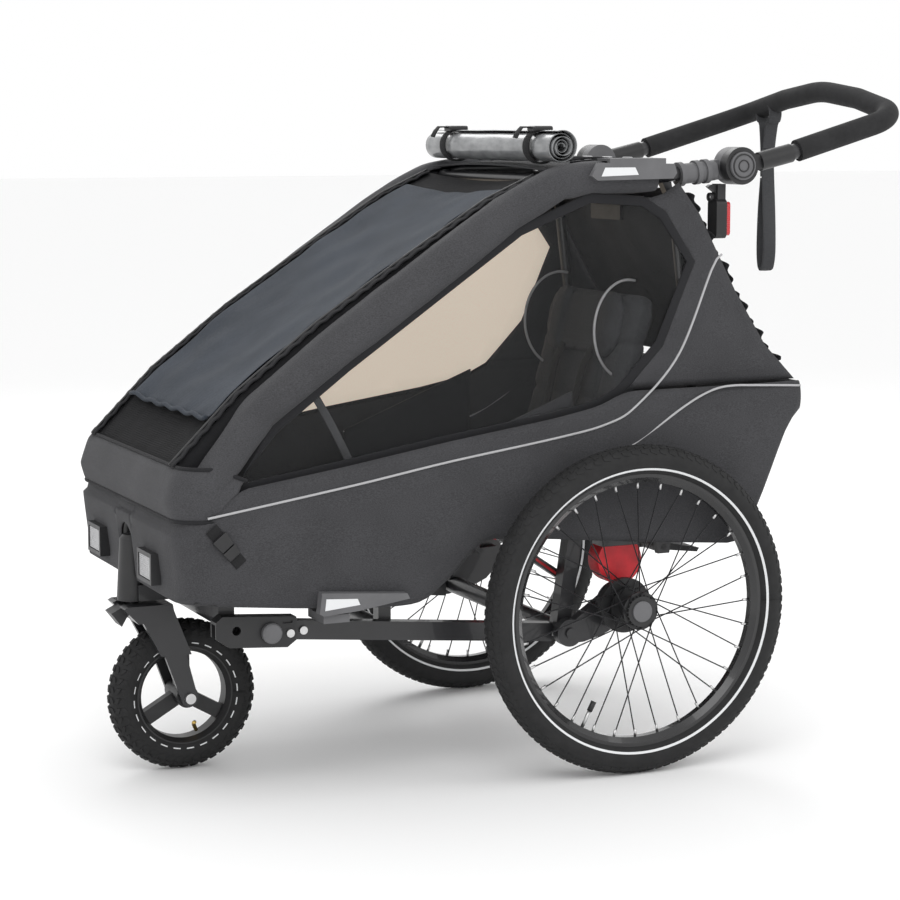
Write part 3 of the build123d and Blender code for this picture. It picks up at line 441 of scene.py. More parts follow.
def coloured(mat, factor, low, high, from_=0.3, to=0.7):
    """Base colour from a pattern, between two colours."""
    ramp = add(mat, "ValToRGB")
    ramp.color_ramp.elements[0].position = from_
    ramp.color_ramp.elements[1].position = to
    ramp.color_ramp.elements[0].color = (*low, 1)
    ramp.color_ramp.elements[1].color = (*high, 1)
    link(mat, factor, ramp.inputs["Fac"])
    link(mat, ramp.outputs["Color"], mat.node_tree.nodes["Principled BSDF"].inputs["Base Color"])
    return ramp.outputs["Color"]


def rough(mat, factor, low, high):
    """Roughness from a pattern."""
    made = add(mat, "MapRange")
    made.inputs["To Min"].default_value, made.inputs["To Max"].default_value = low, high
    link(mat, factor, made.inputs["Value"])
    link(mat, made.outputs["Result"], mat.node_tree.nodes["Principled BSDF"].inputs["Roughness"])


def raised(mat, height, distance, strength=1.0):
    """Relief from a pattern, in metres."""
    made = add(mat, "Bump", Strength=strength, Distance=distance)
    link(mat, height, made.inputs["Height"])
    target = mat.node_tree.nodes["Principled BSDF"].inputs["Normal"]
    if target.links:
        link(mat, target.links[0].from_socket, made.inputs["Normal"])
    link(mat, made.outputs["Normal"], target)


def shade(colour, factor):
    """A colour made lighter or darker."""
    return tuple(min(1.0, c * factor) for c in colour)


def weave(mat, pitch):
    """Threads that cross, whichever way the cloth faces."""
    across, deep, up = (bands(mat, pitch, axis) for axis in "XYZ")
    first = combine(mat, "MULTIPLY", across, up)
    second = combine(mat, "MULTIPLY", across, deep)
    third = combine(mat, "MULTIPLY", deep, up)
    return combine(mat, "MAXIMUM", combine(mat, "MAXIMUM", first, second), third)


def fabric(name, colour, pitch=0.0011, contrast=0.25, roughness=0.85, alpha=1.0, depth=0.0004):
    """Woven cloth with flecked yarn, slight wear and a thread relief."""
    mat = shader(name, colour, roughness, sheen=0.05, alpha=alpha)
    mat.node_tree.nodes["Principled BSDF"].inputs["Specular IOR Level"].default_value = 0.25
    flecks = noisy(mat, 0.0022, 4.0, (1, 1, 2.5))
    patches = noisy(mat, 0.09, 2.0)
    fine, broad = combine(mat, "MULTIPLY", flecks, 0.75), combine(mat, "MULTIPLY", patches, 0.25)
    mixed = combine(mat, "ADD", fine, broad)
    coloured(mat, mixed, shade(colour, 1 - contrast), shade(colour, 1 + contrast), 0.38, 0.62)
    raised(mat, weave(mat, pitch), depth, 0.6)
    raised(mat, noisy(mat, 0.03, 3.0), 0.0015, 0.25)
    return mat


def netting(name, colour, pitch, alpha):
    """Mesh: threads, with holes as opaque as alpha."""
    mat = shader(name, colour, 0.85)
    mat.node_tree.nodes["Principled BSDF"].inputs["Specular IOR Level"].default_value = 0.15
    threads = weave(mat, pitch)
    holes = add(mat, "MapRange")
    holes.inputs["From Min"].default_value, holes.inputs["From Max"].default_value = 0.1, 0.5
    holes.inputs["To Min"].default_value, holes.inputs["To Max"].default_value = alpha, 1.0
    link(mat, threads, holes.inputs["Value"])
    link(mat, holes.outputs["Result"], mat.node_tree.nodes["Principled BSDF"].inputs["Alpha"])
    coloured(mat, noisy(mat, 0.05), shade(colour, 0.8), shade(colour, 1.25))
    raised(mat, threads, 0.0004)
    return mat


def plastic(name, colour, roughness=0.5, grain=0.0006):
    """Moulded plastic with a fine grain and scuffs."""
    mat = shader(name, colour, roughness)
    coloured(mat, noisy(mat, 0.04, 5.0), shade(colour, 0.88), shade(colour, 1.15))
    rough(mat, noisy(mat, 0.015, 6.0), roughness - 0.08, roughness + 0.12)
    raised(mat, noisy(mat, grain, 2.0), 0.00012, 0.5)
    return mat


def metal(name, colour, roughness, metallic, coat=0.0):
    """Painted or bare metal with slight orange peel and wear."""
    mat = shader(name, colour, roughness, metallic, coat)
    coloured(mat, noisy(mat, 0.06, 6.0), shade(colour, 0.85), shade(colour, 1.15))
    rough(mat, noisy(mat, 0.008, 5.0), max(0.05, roughness - 0.06), roughness + 0.1)
    raised(mat, noisy(mat, 0.0025, 2.0), 0.00006, 0.4)
    return mat


def rubber(name, colour, roughness=0.75, grain=0.002):
    """Matt rubber or foam with a rough skin."""
    mat = shader(name, colour, roughness)
    coloured(mat, noisy(mat, 0.03, 4.0), shade(colour, 0.8), shade(colour, 1.3))
    rough(mat, noisy(mat, 0.01, 4.0), roughness - 0.1, roughness + 0.1)
    raised(mat, noisy(mat, grain, 3.0), 0.0003, 0.6)
    return mat


GREY = (0.05, 0.05, 0.0535)
BODY_FABRIC = fabric("body_fabric", GREY)
PAD_FABRIC = fabric("pad_fabric", shade(GREY, 1.12))
# Dark lining cloth, used for the seat's side walls and for the sheet of painted shade behind the front mesh.
LINING_AND_PAINTED_SHADE = fabric("lining_and_painted_shade", (0.028, 0.028, 0.031), contrast=0.15)
SHADE_FABRIC = fabric("sunshade_fabric", (0.034, 0.041, 0.053), pitch=0.0016, contrast=0.35)
SEAT_FABRIC = fabric("seat_fabric", (0.05, 0.051, 0.055), pitch=0.0014, contrast=0.3)
BINDING = fabric("binding", (0.018, 0.018, 0.02), pitch=0.0008, contrast=0.15)
WEBBING = fabric("webbing", (0.05, 0.051, 0.054), pitch=0.0018, contrast=0.2, depth=0.0006)
BLACK_WEBBING = fabric("black_webbing", (0.016, 0.016, 0.017), pitch=0.0018, contrast=0.2, depth=0.0006)
REAR_FABRIC = fabric("rear_fabric", (0.03, 0.03, 0.033), contrast=0.2)
# Holes 94 % opaque in the threads' dark colour: painted shade of the inside seen through the mesh.
MESH = netting("cover_mesh", (0.012, 0.012, 0.013), 0.0026, 0.94)
SCREEN = fabric("sun_screen", (0.66, 0.57, 0.47), pitch=0.0012, contrast=0.05)
PIPING = shader("reflective_piping", (0.42, 0.42, 0.43), 0.35)
BLACK = plastic("black_plastic", (0.014, 0.014, 0.015), 0.42)
GREY_PLASTIC = plastic("grey_plastic", (0.11, 0.11, 0.115), 0.5)
PALE_PLASTIC = plastic("pale_plastic", (0.42, 0.42, 0.43), 0.45)
PAINT = metal("frame_paint", (0.016, 0.016, 0.018), 0.38, 0.0, 0.3)
RIM_PAINT = metal("rim_paint", (0.011, 0.011, 0.012), 0.22, 0.2, 0.5)
STEEL = metal("steel", (0.6, 0.6, 0.6), 0.3, 1.0)
SPOKE = metal("spoke", (0.03, 0.03, 0.032), 0.3, 0.9)
BRASS = metal("brass", (0.75, 0.52, 0.16), 0.3, 1.0)
TYRE = rubber("tyre_rubber", (0.009, 0.009, 0.0095), 0.8)
FOAM = rubber("grip_foam", (0.013, 0.013, 0.014), 0.9, 0.0012)
RED_RUBBER = rubber("spring_rubber", (0.5, 0.01, 0.018), 0.45, 0.004)
RED_LENS = shader("red_lens", (0.5, 0.004, 0.01), 0.12, coat=0.6)
REFLECTIVE = shader("reflective_sticker", (0.72, 0.73, 0.74), 0.28)
SILVER = shader("rolled_film", (0.33, 0.34, 0.35), 0.32, coat=0.4)
CLEAR = shader("window_film", (0.5, 0.51, 0.52), 0.35, alpha=0.03)
LENS = shader("clear_lens", (0.16, 0.16, 0.17), 0.12, coat=0.8)

# The sun screen glows: painted light standing in for daylight shining through the cloth, though it is no
# lamp.
screen_bsdf = SCREEN.node_tree.nodes["Principled BSDF"]
screen_bsdf.inputs["Emission Color"].default_value = (0.66, 0.57, 0.47, 1)
screen_bsdf.inputs["Emission Strength"].default_value = 0.75
raised(RED_LENS, bands(RED_LENS, 0.003, "Z"), 0.0004)
raised(LENS, combine(LENS, "MULTIPLY", bands(LENS, 0.003, "Y"), bands(LENS, 0.003, "Z")), 0.0006)
prisms = combine(REFLECTIVE, "MAXIMUM", bands(REFLECTIVE, 0.002, "X"), bands(REFLECTIVE, 0.002, "Z"))
raised(REFLECTIVE, prisms, 0.0001)
raised(PIPING, bands(PIPING, 0.0012, "DIAGONAL"), 0.0002)
coloured(SILVER, noisy(SILVER, 0.012, 4.0, (1, 0.4, 1)), (0.14, 0.145, 0.15), (0.27, 0.275, 0.28))
raised(SILVER, noisy(SILVER, 0.018, 3.0, (1, 0.3, 1)), 0.0018, 0.6)
raised(CLEAR, noisy(CLEAR, 0.05, 2.0), 0.001, 0.3)

CAD_LOOKS = {
    PAINT: ["side_rails", "frame_tubes", "brace_bars", "stem_bracket", "front_bow", "rear_legs",
            "swing_arm_left", "swing_arm_right", "handle_bar", "caster_fork"],
    BLACK: ["caster_stem", "drawbar_receiver", "floor_pan", "seat_deck", "reflector_housings", "light_clamp",
            "tail_light", "fold_lever", "handle_hubs", "swivel_lock", "brake_pedal", "rear_hub_left",
            "rear_hub_right", "caster_rim"],
    GREY_PLASTIC: ["lower_bumpers", "roof_bumpers", "hinge_sockets", "hinge_button_left",
                   "hinge_button_right", "drawbar_pin", "release_button_left", "release_button_right"],
    STEEL: ["receiver_bolts", "caster_axle"],
    RIM_PAINT: ["rear_rim_left", "rear_rim_right"],
    SPOKE: ["rear_spokes_left", "rear_spokes_right"],
    RED_RUBBER: ["elastomer_springs"],
    RED_LENS: ["tail_lens"],
    LENS: ["nose_reflectors"],
    FOAM: ["handle_grip"],
    TYRE: ["caster_tyre"],
}
for look, names in CAD_LOOKS.items():
    for node in names:
        NODES[node].data.materials.clear()
        NODES[node].data.materials.append(look)
BEVELLED = [
    "caster_fork", "caster_stem", "drawbar_receiver", "lower_bumpers", "roof_bumpers", "hinge_sockets",
    "handle_hubs", "swivel_lock", "brake_pedal", "fold_lever", "swing_arm_left", "swing_arm_right",
    "stem_bracket", "reflector_housings", "light_clamp", "brace_bars", "frame_tubes", "caster_rim",
]


# ---------------------------------------------------------------- stage, lights and camera


FLOOR = 40.0  # half width of the floor
LAMPS = [  # name, place from the part's middle, size in metres and power in watts
    ("key", (-1.6, -2.6, 3.0), 2.4, 42),
    ("fill", (2.6, -2.2, 1.8), 2.0, 14),
    ("rim", (0.8, 3.0, 2.6), 2.2, 40),
]
CAMERA_AT = (-1.6174, -3.5029, 0.9729)
CAMERA_TARGET = (-0.0636, 0.0, 0.4633)
CAMERA_LENS, CAMERA_SENSOR = 98.1, 36.0  # millimetres


def studio():
    """White floor and background, and three area lamps aimed at the part."""
    floor_material = shader("floor", (0.95, 0.95, 0.95), 0.8)
    raised(floor_material, noisy(floor_material, 0.3, 2.0), 0.001, 0.05)
    corners = [(-FLOOR, -FLOOR, 0), (FLOOR, -FLOOR, 0), (FLOOR, FLOOR, 0), (-FLOOR, FLOOR, 0)]
    floor = piece("floor", corners, [(0, 1, 2, 3)], floor_material)
    world = bpy.data.worlds.new("studio")
    world.use_nodes = True
    world.node_tree.nodes["Background"].inputs["Color"].default_value = (1, 1, 1, 1)
    world.node_tree.nodes["Background"].inputs["Strength"].default_value = 1.0
    bpy.context.scene.world = world
    bpy.context.scene.view_settings.view_transform = "Standard"
    middle = (Vector(CAD_BOX[0]) + Vector(CAD_BOX[1])) / 2
    for name, offset, size, power in LAMPS:
        data = bpy.data.lights.new(name, "AREA")
        data.size, data.energy = size, power
        lamp = bpy.data.objects.new(name, data)
        bpy.context.scene.collection.objects.link(lamp)
        lamp.location = middle + Vector(offset)
        lamp.rotation_euler = (-Vector(offset)).to_track_quat("-Z", "Y").to_euler()


def camera():
    """At the photograph's viewing angle, with its focal length."""
    data = bpy.data.cameras.new("camera")
    data.lens, data.sensor_width = CAMERA_LENS, CAMERA_SENSOR
    cam = bpy.data.objects.new("camera", data)
    bpy.context.scene.collection.objects.link(cam)
    cam.location = CAMERA_AT
    cam.rotation_euler = (Vector(CAMERA_TARGET) - cam.location).to_track_quat("-Z", "Y").to_euler()
    bpy.context.scene.camera = cam


studio()
camera()


# ---------------------------------------------------------------- tub

TUB = end_outline("tub_sides", -1)
TUB_LOW, TUB_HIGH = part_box("tub_sides")
TUB_Y = TUB_HIGH.y
NOSE = end_outline("nose_shell", -1)
NOSE_LOW, NOSE_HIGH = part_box("nose_shell")
COVER = outer_line("front_cover")
SQUASHED = []  # soft pieces on the chassis, each with what is left of its height when the bow is folded
TUB_KEEP = 0.62
UPPER_KEEP = 0.30
CORNER_R = 0.044
ARCH_R = 0.032
ARCH_TOP = 0.384


def smooth_span(outline, x, reach=0.018):
    """Lowest and highest z of an outline, evened out over a reach so that its corners are curves."""
    found = [span(outline, x + reach * k / 3) for k in range(-3, 4)]
    found = [f for f in found if f]
    return tuple(sum(f[i] for f in found) / len(found) for i in (0, 1))


def nose_x(z):
    """Front face of the tub at a height."""
    front = sorted((p for p in NOSE if p[0] < (NOSE_LOW.x + NOSE_HIGH.x) / 2 or p[1] > NOSE_HIGH.z - 0.02),
                   key=lambda p: p[1])
    for (x0, z0), (x1, z1) in zip(front, front[1:]):
        if z0 <= z <= z1 and z1 > z0:
            return x0 + (x1 - x0) * (z - z0) / (z1 - z0)
    return front[0][0] if z < front[0][1] else front[-1][0]


def tub_columns():
    """Stations round the tub, from the left rear, round the nose, to the right rear: kind and place."""
    rear = TUB_HIGH.x - 0.003
    corner = NOSE_LOW.x + CORNER_R
    count = 78
    side = [("side", rear + (corner - rear) * i / count) for i in range(count)]
    turn = [("turn", math.pi / 2 * i / 10) for i in range(11)]
    flat_y = TUB_Y - CORNER_R
    front = [("front", -flat_y + (flat_y - ARCH_R - 0.004) * i / 14) for i in range(1, 15)]
    arch = [("front", (ARCH_R + 0.004) * (i / 16 - 1)) for i in range(1, 17)]
    left = side + turn + front + arch
    return [(kind, place, -1) for kind, place in left] + [(kind, place, 1) for kind, place in left[-2::-1]]


def tub_shell():
    """The tub's fabric in one piece: both sides, the rounded corners and the nose with its arch."""
    rows = []
    for kind, place, side in tub_columns():
        if kind == "side":
            low, high = smooth_span(TUB, place)
        else:
            low, high = NOSE_LOW.z - 0.001, NOSE_HIGH.z + 0.002
        if kind == "front" and abs(place) < ARCH_R:
            low = ARCH_TOP - ARCH_R + math.sqrt(ARCH_R ** 2 - place ** 2)
        elif kind == "front" and abs(place) < ARCH_R + 0.004:
            low = ARCH_TOP - ARCH_R
        row = []
        for j in range(23):
            t = j / 22
            z = low + (high - low) * t
            swell = math.sin(math.pi * t) ** 0.5
            fold = 0.0016 * wrinkle(place, side * 0.3, z, 0.09) * swell
            if kind == "side":
                x, y = place, TUB_Y - 0.006 + 0.0065 * swell + fold
            elif kind == "turn":
                x = nose_x(z) + CORNER_R - CORNER_R * math.sin(place)
                y = TUB_Y - CORNER_R + CORNER_R * math.cos(place) - 0.004 * (1 - swell)
            else:
                x, y = nose_x(z) - 0.003 * swell + fold, abs(place)
            row.append((x, side * y, z))
        rows.append(row)
    shell = thicken(grid("tub_shell", rows, BODY_FABRIC), 0.0025, 1.0)
    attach(shell, "chassis")
    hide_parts("tub_sides", "nose_shell")
    SQUASHED.append((shell, TUB_KEEP))


def arch_liner():
    """Dark pocket that the caster stem stands in."""
    rows = []
    for i in range(25):
        a = math.pi * i / 24
        z = ARCH_TOP - ARCH_R + ARCH_R * math.sin(a)
        rows.append([(nose_x(z) + 0.001 + 0.042 * j / 4, -ARCH_R * math.cos(a), z) for j in range(5)])
    sides = [[(x, y, NOSE_LOW.z) for x, y, _ in rows[0]]], [[(x, y, NOSE_LOW.z) for x, y, _ in rows[-1]]]
    liner = thicken(grid("arch_liner", sides[0] + rows + sides[1], BLACK), 0.002)
    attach(liner, "chassis")


def offset_line(line, distance):
    """An (x, z) line moved to its left."""
    moved = []
    for i, p in enumerate(line):
        a, b = line[max(i - 1, 0)], line[min(i + 1, len(line) - 1)]
        run = math.dist(a, b) or 1
        moved.append((p[0] - (b[1] - a[1]) / run * distance, p[1] + (b[0] - a[0]) / run * distance))
    return moved


def bead(name, line, y, radius, material, body="chassis"):
    """Piping along an (x, z) line on both sides."""
    for word, side in SIDES:
        points = curve([(x, side * y, z) for x, z in line])
        made = sweep(f"{name}_{word}", points, circle(radius, 8), (0, 1, 0), material)
        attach(made, body)
        SQUASHED.append((made, TUB_KEEP))


WINDOW = end_outline("side_windows", -1)
WINDOW_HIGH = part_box("side_windows")[1]
SEAM_BAND = 0.028


def window_edge():
    """The window's bottom and rear edge, from its front corner up to its rearmost corner."""
    start = min(range(len(WINDOW)), key=lambda i: WINDOW[i][0])
    loop = WINDOW[start:] + WINDOW[:start]
    if loop[1][1] > loop[-1][1]:
        loop = [loop[0]] + loop[:0:-1]
    last = max(range(len(loop)), key=lambda i: loop[i][0])
    return loop[: last + 1]


def sill_piping():
    """Reflective piping below the window that runs up behind it."""
    line = offset_line(window_edge(), -SEAM_BAND)
    line = [(TUB_LOW.x + 0.028, line[0][1] - 0.008)] + line[1:] + [(line[-1][0] + 0.017, line[-1][1] + 0.022)]
    bead("sill_piping", line, TUB_Y + 0.0012, 0.0018, PIPING)


TAIL_LEVEL = 0.34  # share of the tail piping that stays level before it drops
TAIL_PIPING_END = (0.06, 0.474)  # x and z of its front end, over the wheel


def tail_piping():
    """Reflective piping that sweeps from the tub's rear corner down behind the wheel."""
    start = (TUB_HIGH.x - 0.003, TUB_HIGH.z - 0.006)
    end = TAIL_PIPING_END
    line = []
    for i in range(13):
        t = i / 12
        past, rest = max(0.0, t - TAIL_LEVEL), 1 - TAIL_LEVEL
        drop = 3 * past ** 2 / rest ** 2 - 2 * past ** 3 / rest ** 3
        x = start[0] + (end[0] - start[0]) * t
        line.append((x, start[1] + 0.006 * math.sin(3 * t) + (end[1] - start[1]) * drop))
    bead("tail_piping", line, TUB_Y + 0.0012, 0.0018, PIPING)


# ---------------------------------------------------------------- nose: apron, reflectors, buckles


APRON_TOP = 0.492
APRON_BACK = 0.045


def apron():
    """Padded lower end of the front cover, wrapped round the corners to the pillars."""
    rows = []
    flat_y = TUB_Y - CORNER_R
    stations = [("side", i / 5) for i in range(5)] + [("turn", math.pi / 2 * i / 10) for i in range(11)]
    stations += [("front", i / 16) for i in range(1, 17)]
    stations = [(k, p, -1) for k, p in stations] + [(k, p, 1) for k, p in stations[-2::-1]]
    for kind, place, side in stations:
        row = []
        for j in range(17):
            t = j / 16
            swell = math.sin(math.pi * t) ** 0.6
            lean = at_height(COVER, 0.424 + (APRON_TOP - 0.424) * t) if t > 0 else COVER[0][0]
            z = 0.418 + (APRON_TOP - 0.418) * t
            puff = 0.002 * swell
            if kind == "side":
                back = (1 - place) * APRON_BACK
                x, y = lean + CORNER_R + back, TUB_Y - 0.004 + puff - 0.004 * t
                z = z - (z - 0.418) * 0.25 * (1 - place)
            elif kind == "turn":
                x = lean + CORNER_R - (CORNER_R + puff) * math.sin(place)
                y = TUB_Y - 0.004 - CORNER_R + (CORNER_R + puff) * math.cos(place) - 0.004 * t
            else:
                x, y = lean - puff, (flat_y - 0.004) * (1 - place)
            row.append((x, side * y, z))
        rows.append(row)
    made = subdivide(thicken(grid("cover_apron", rows, PAD_FABRIC), 0.004, -1.0), 1)
    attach(made, "bow")
    seam_rows = [row[0] for row in rows]
    top_rows = [row[-1] for row in rows]
    seam = sweep("apron_hem", seam_rows, circle(0.0035, 8), (0, 0, 1), BINDING)
    top = sweep("apron_binding", top_rows, circle(0.003, 8), (0, 0, 1), BINDING)
    for hem in (seam, top):
        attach(hem, "bow")


def buckles():
    """Webbing and side-release buckle at each lower corner of the front cover."""
    low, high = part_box("corner_clips")
    for word, side in SIDES:
        y = side * (TUB_Y + 0.003)
        top, bottom = Vector((low.x - 0.012, y, high.z - 0.002)), Vector((high.x + 0.002, y, low.z + 0.004))
        strap_line = curve([top + (bottom - top) * t for t in (0, 0.35, 0.7, 1.0)])
        strap = sweep(f"corner_strap_{word}", strap_line, flat(0.02, 0.0018), (0.75, 0, 0.66), BLACK_WEBBING)
        slope = (bottom - top).normalized()
        across = Vector((-slope.z, 0, slope.x))
        middle = top + (bottom - top) * 0.5 + Vector((0, side * 0.0035, 0))
        shells = []
        for start, end, half, thick in ((-0.019, 0.002, 0.0125, 0.0055), (0.0035, 0.019, 0.0115, 0.0045)):
            corners = [middle + slope * s + across * a for s, a in
                       ((start, -half), (start, half), (end, half * 0.86), (end, -half * 0.86))]
            points = [c + Vector((0, side * d, 0)) for d in (-thick / 2, thick / 2) for c in corners]
            faces = [(3, 2, 1, 0), (4, 5, 6, 7), (0, 1, 5, 4), (1, 2, 6, 5), (2, 3, 7, 6), (3, 0, 4, 7)]
            half_shell = piece("shell", points, faces, BLACK, smooth=False)
            shells.append(finished(soften(half_shell, 0.0012)))
        buckle = joined(f"corner_buckle_{word}", shells)
        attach(strap, "chassis")
        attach(buckle, "chassis")
        if side < 0:
            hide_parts("corner_clips")


# ---------------------------------------------------------------- side fabric and windows


def upper_sides():
    """Fabric quarters behind the windows."""
    outline = end_outline("upper_sides", -1)
    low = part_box("upper_sides")[0]

    def swell(x, z, d):
        return -0.004 * min(1, d / 0.05) - 0.0018 * wrinkle(x, 0, z, 0.07) * min(1, d / 0.03)

    left = thicken(panel("side_quarter_left", outline, low.y + 0.004, BODY_FABRIC, swell), 0.002, 0)
    right = mirrored(left, "side_quarter_right")
    for made in (left, right):
        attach(made, "chassis")
        SQUASHED.append((made, UPPER_KEEP))
    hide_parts("upper_sides")


def windows():
    """Clear film on the left, and on the right the same film with its sun screen down."""
    def sag(x, z, d):
        return 0.002 * wrinkle(x, 1, z, 0.12) * min(1, d / 0.03)

    for word, side in SIDES:
        film = panel(f"window_film_{word}", WINDOW, side * (WINDOW_HIGH.y - 0.0006), CLEAR, sag, 0.02)
        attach(film, "chassis")
        if side < 0:
            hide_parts("side_windows")
        edge = [(x, side * (WINDOW_HIGH.y + 0.001), z) for x, z in WINDOW]
        binding = sweep(f"window_binding_{word}", edge, flat(0.002, 0.012), (0, 1, 0), BINDING, closed=True)
        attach(binding, "chassis")
        SQUASHED.extend([(film, UPPER_KEEP), (binding, UPPER_KEEP)])


def sun_screen():
    """Beige screen let down inside the right window; its material glows with painted light standing in for
    daylight through the cloth.
    """
    y = WINDOW_HIGH.y - 0.006
    screen = panel("sun_screen_right", WINDOW, y, SCREEN, lambda x, z, d: 0.002 * wrinkle(x, 2, z, 0.1), 0.02)
    screen = thicken(screen, 0.0008, 0)
    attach(screen, "chassis")
    SQUASHED.append((screen, UPPER_KEEP))


# ---------------------------------------------------------------- padded pieces


def stuffed(name, node, material, voxel, cap, side=0, shrink=0.002, pressure=4.0, crease=None):
    """A stuffed piece: a CAD solid remeshed, blown up a little by cloth pressure, and smoothed."""
    source = NODES[node]
    mesh = source.data.copy()
    obj = bpy.data.objects.new(name, mesh)
    bpy.context.scene.collection.objects.link(obj)
    if side:
        drop = [v.index for v in mesh.vertices if side * v.co.y < 0]
        cut = bmesh.new()
        cut.from_mesh(mesh)
        cut.verts.ensure_lookup_table()
        bmesh.ops.delete(cut, geom=[cut.verts[i] for i in drop], context="VERTS")
        cut.to_mesh(mesh)
        cut.free()
    remesh = obj.modifiers.new("remesh", "REMESH")
    remesh.mode, remesh.voxel_size = "VOXEL", voxel
    finished(obj)
    relax = obj.modifiers.new("relax", "SMOOTH")
    relax.factor, relax.iterations = 0.5, 4
    finished(obj)
    obj.data.polygons.foreach_set("use_smooth", [True] * len(obj.data.polygons))
    for v, normal in zip(obj.data.vertices, [v.normal.copy() for v in obj.data.vertices]):
        v.co -= normal * shrink
    blow_up(obj, cap, pressure)
    relax = obj.modifiers.new("relax", "SMOOTH")
    relax.factor, relax.iterations = 0.5, 2
    finished(obj)
    if crease:
        for v, normal in zip(obj.data.vertices, [v.normal.copy() for v in obj.data.vertices]):
            v.co += normal * crease(v.co)
    obj.data.materials.clear()
    obj.data.materials.append(material)
    obj.data.polygons.foreach_set("use_smooth", [True] * len(obj.data.polygons))
    return obj


def blow_up(obj, cap, pressure):
    """Cloth under pressure, with no gravity; no point moves further than cap."""
    rest = [v.co.copy() for v in obj.data.vertices]
    cloth = obj.modifiers.new("cloth", "CLOTH")
    cloth.settings.use_pressure = True
    cloth.settings.uniform_pressure_force = pressure
    cloth.settings.effector_weights.gravity = 0
    cloth.settings.quality = 4
    cloth.point_cache.frame_start, cloth.point_cache.frame_end = 1, 20
    scene = bpy.context.scene
    for number in range(1, 21):
        scene.frame_set(number)
    finished(obj)
    for v, start in zip(obj.data.vertices, rest):
        move = v.co - start
        if move.length > cap:
            v.co = start + move.normalized() * cap
    scene.frame_set(1)


def channel(distance, width, depth):
    """Depth of a sewn channel at a distance from its line."""
    return -depth * math.exp(-(distance / width) ** 2)


def pillar_pads():
    """The padded sleeves along both sides of the bow."""
    def folds(co):
        return 0.0012 * wrinkle(co.x, co.y, co.z, 0.05, 3.0)

    left = stuffed("pillar_pad_left", "pillar_pads", PAD_FABRIC, 0.005, 0.007, side=-1, crease=folds)
    right = mirrored(left, "pillar_pad_right")
    for made in (left, right):
        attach(made, "bow")
    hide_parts("pillar_pads")


def seat():
    """Cushion, back and headrest, with sewn channels."""
    low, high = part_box("seat_pad")

    def quilting(co):
        top = co.z > (low.z + high.z) / 2
        lines = [low.x + (high.x - low.x) * t for t in (0.3, 0.62)]
        return sum(channel(abs(co.x - x), 0.006, 0.005) for x in lines) if top else 0.0

    pad = stuffed("seat_cushion", "seat_pad", SEAT_FABRIC, 0.006, 0.008, shrink=0.004, crease=quilting)
    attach(pad, "chassis")
    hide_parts("seat_pad")
    back_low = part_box("seat_back")[0]

    def back_lines(co):
        spots = [channel(abs(abs(co.y) - 0.085), 0.005, 0.005)]
        spots += [channel(abs(co.z - back_low.z - h), 0.005, 0.004) for h in (0.11, 0.2)]
        return sum(spots)

    back = stuffed("seat_back_pad", "seat_back", SEAT_FABRIC, 0.006, 0.008, shrink=0.003, crease=back_lines)
    head = stuffed("headrest_pad", "headrest", SEAT_FABRIC, 0.005, 0.006, shrink=0.003)
    for made, node in ((back, "seat_back"), (head, "headrest")):
        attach(made, "seat_back")
        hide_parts(node)


# ---------------------------------------------------------------- front cover and roof

STRAP_Y = 0.155
SHADE_START, SHADE_END = 0.215, 0.93


def cover_rows(start, end, half, lift, ripple=0.0, steps=60, across=26, seed=0.0):
    """A stretch of the front cover between two shares of its line."""
    rows = []
    for i in range(steps + 1):
        share = start + (end - start) * i / steps
        x, z = along(COVER, share)
        nx, nz = cover_normal(share)
        row = []
        for j in range(across + 1):
            v = 2 * j / across - 1
            sag = -0.010 * (1 - v * v) * min(1, 6 * (share - start) + 0.3)
            height = lift + sag + ripple * wrinkle(x, v * half, z, 0.06, seed)
            row.append((x + nx * height, v * half, z + nz * height))
        rows.append(row)
    return rows


def cover_normal(share):
    """Outward direction of the front cover at a share of its line."""
    x0, z0 = along(COVER, max(0, share - 0.04))
    x1, z1 = along(COVER, min(1, share + 0.04))
    run = math.dist((x0, z0), (x1, z1))
    return -(z1 - z0) / run, (x1 - x0) / run


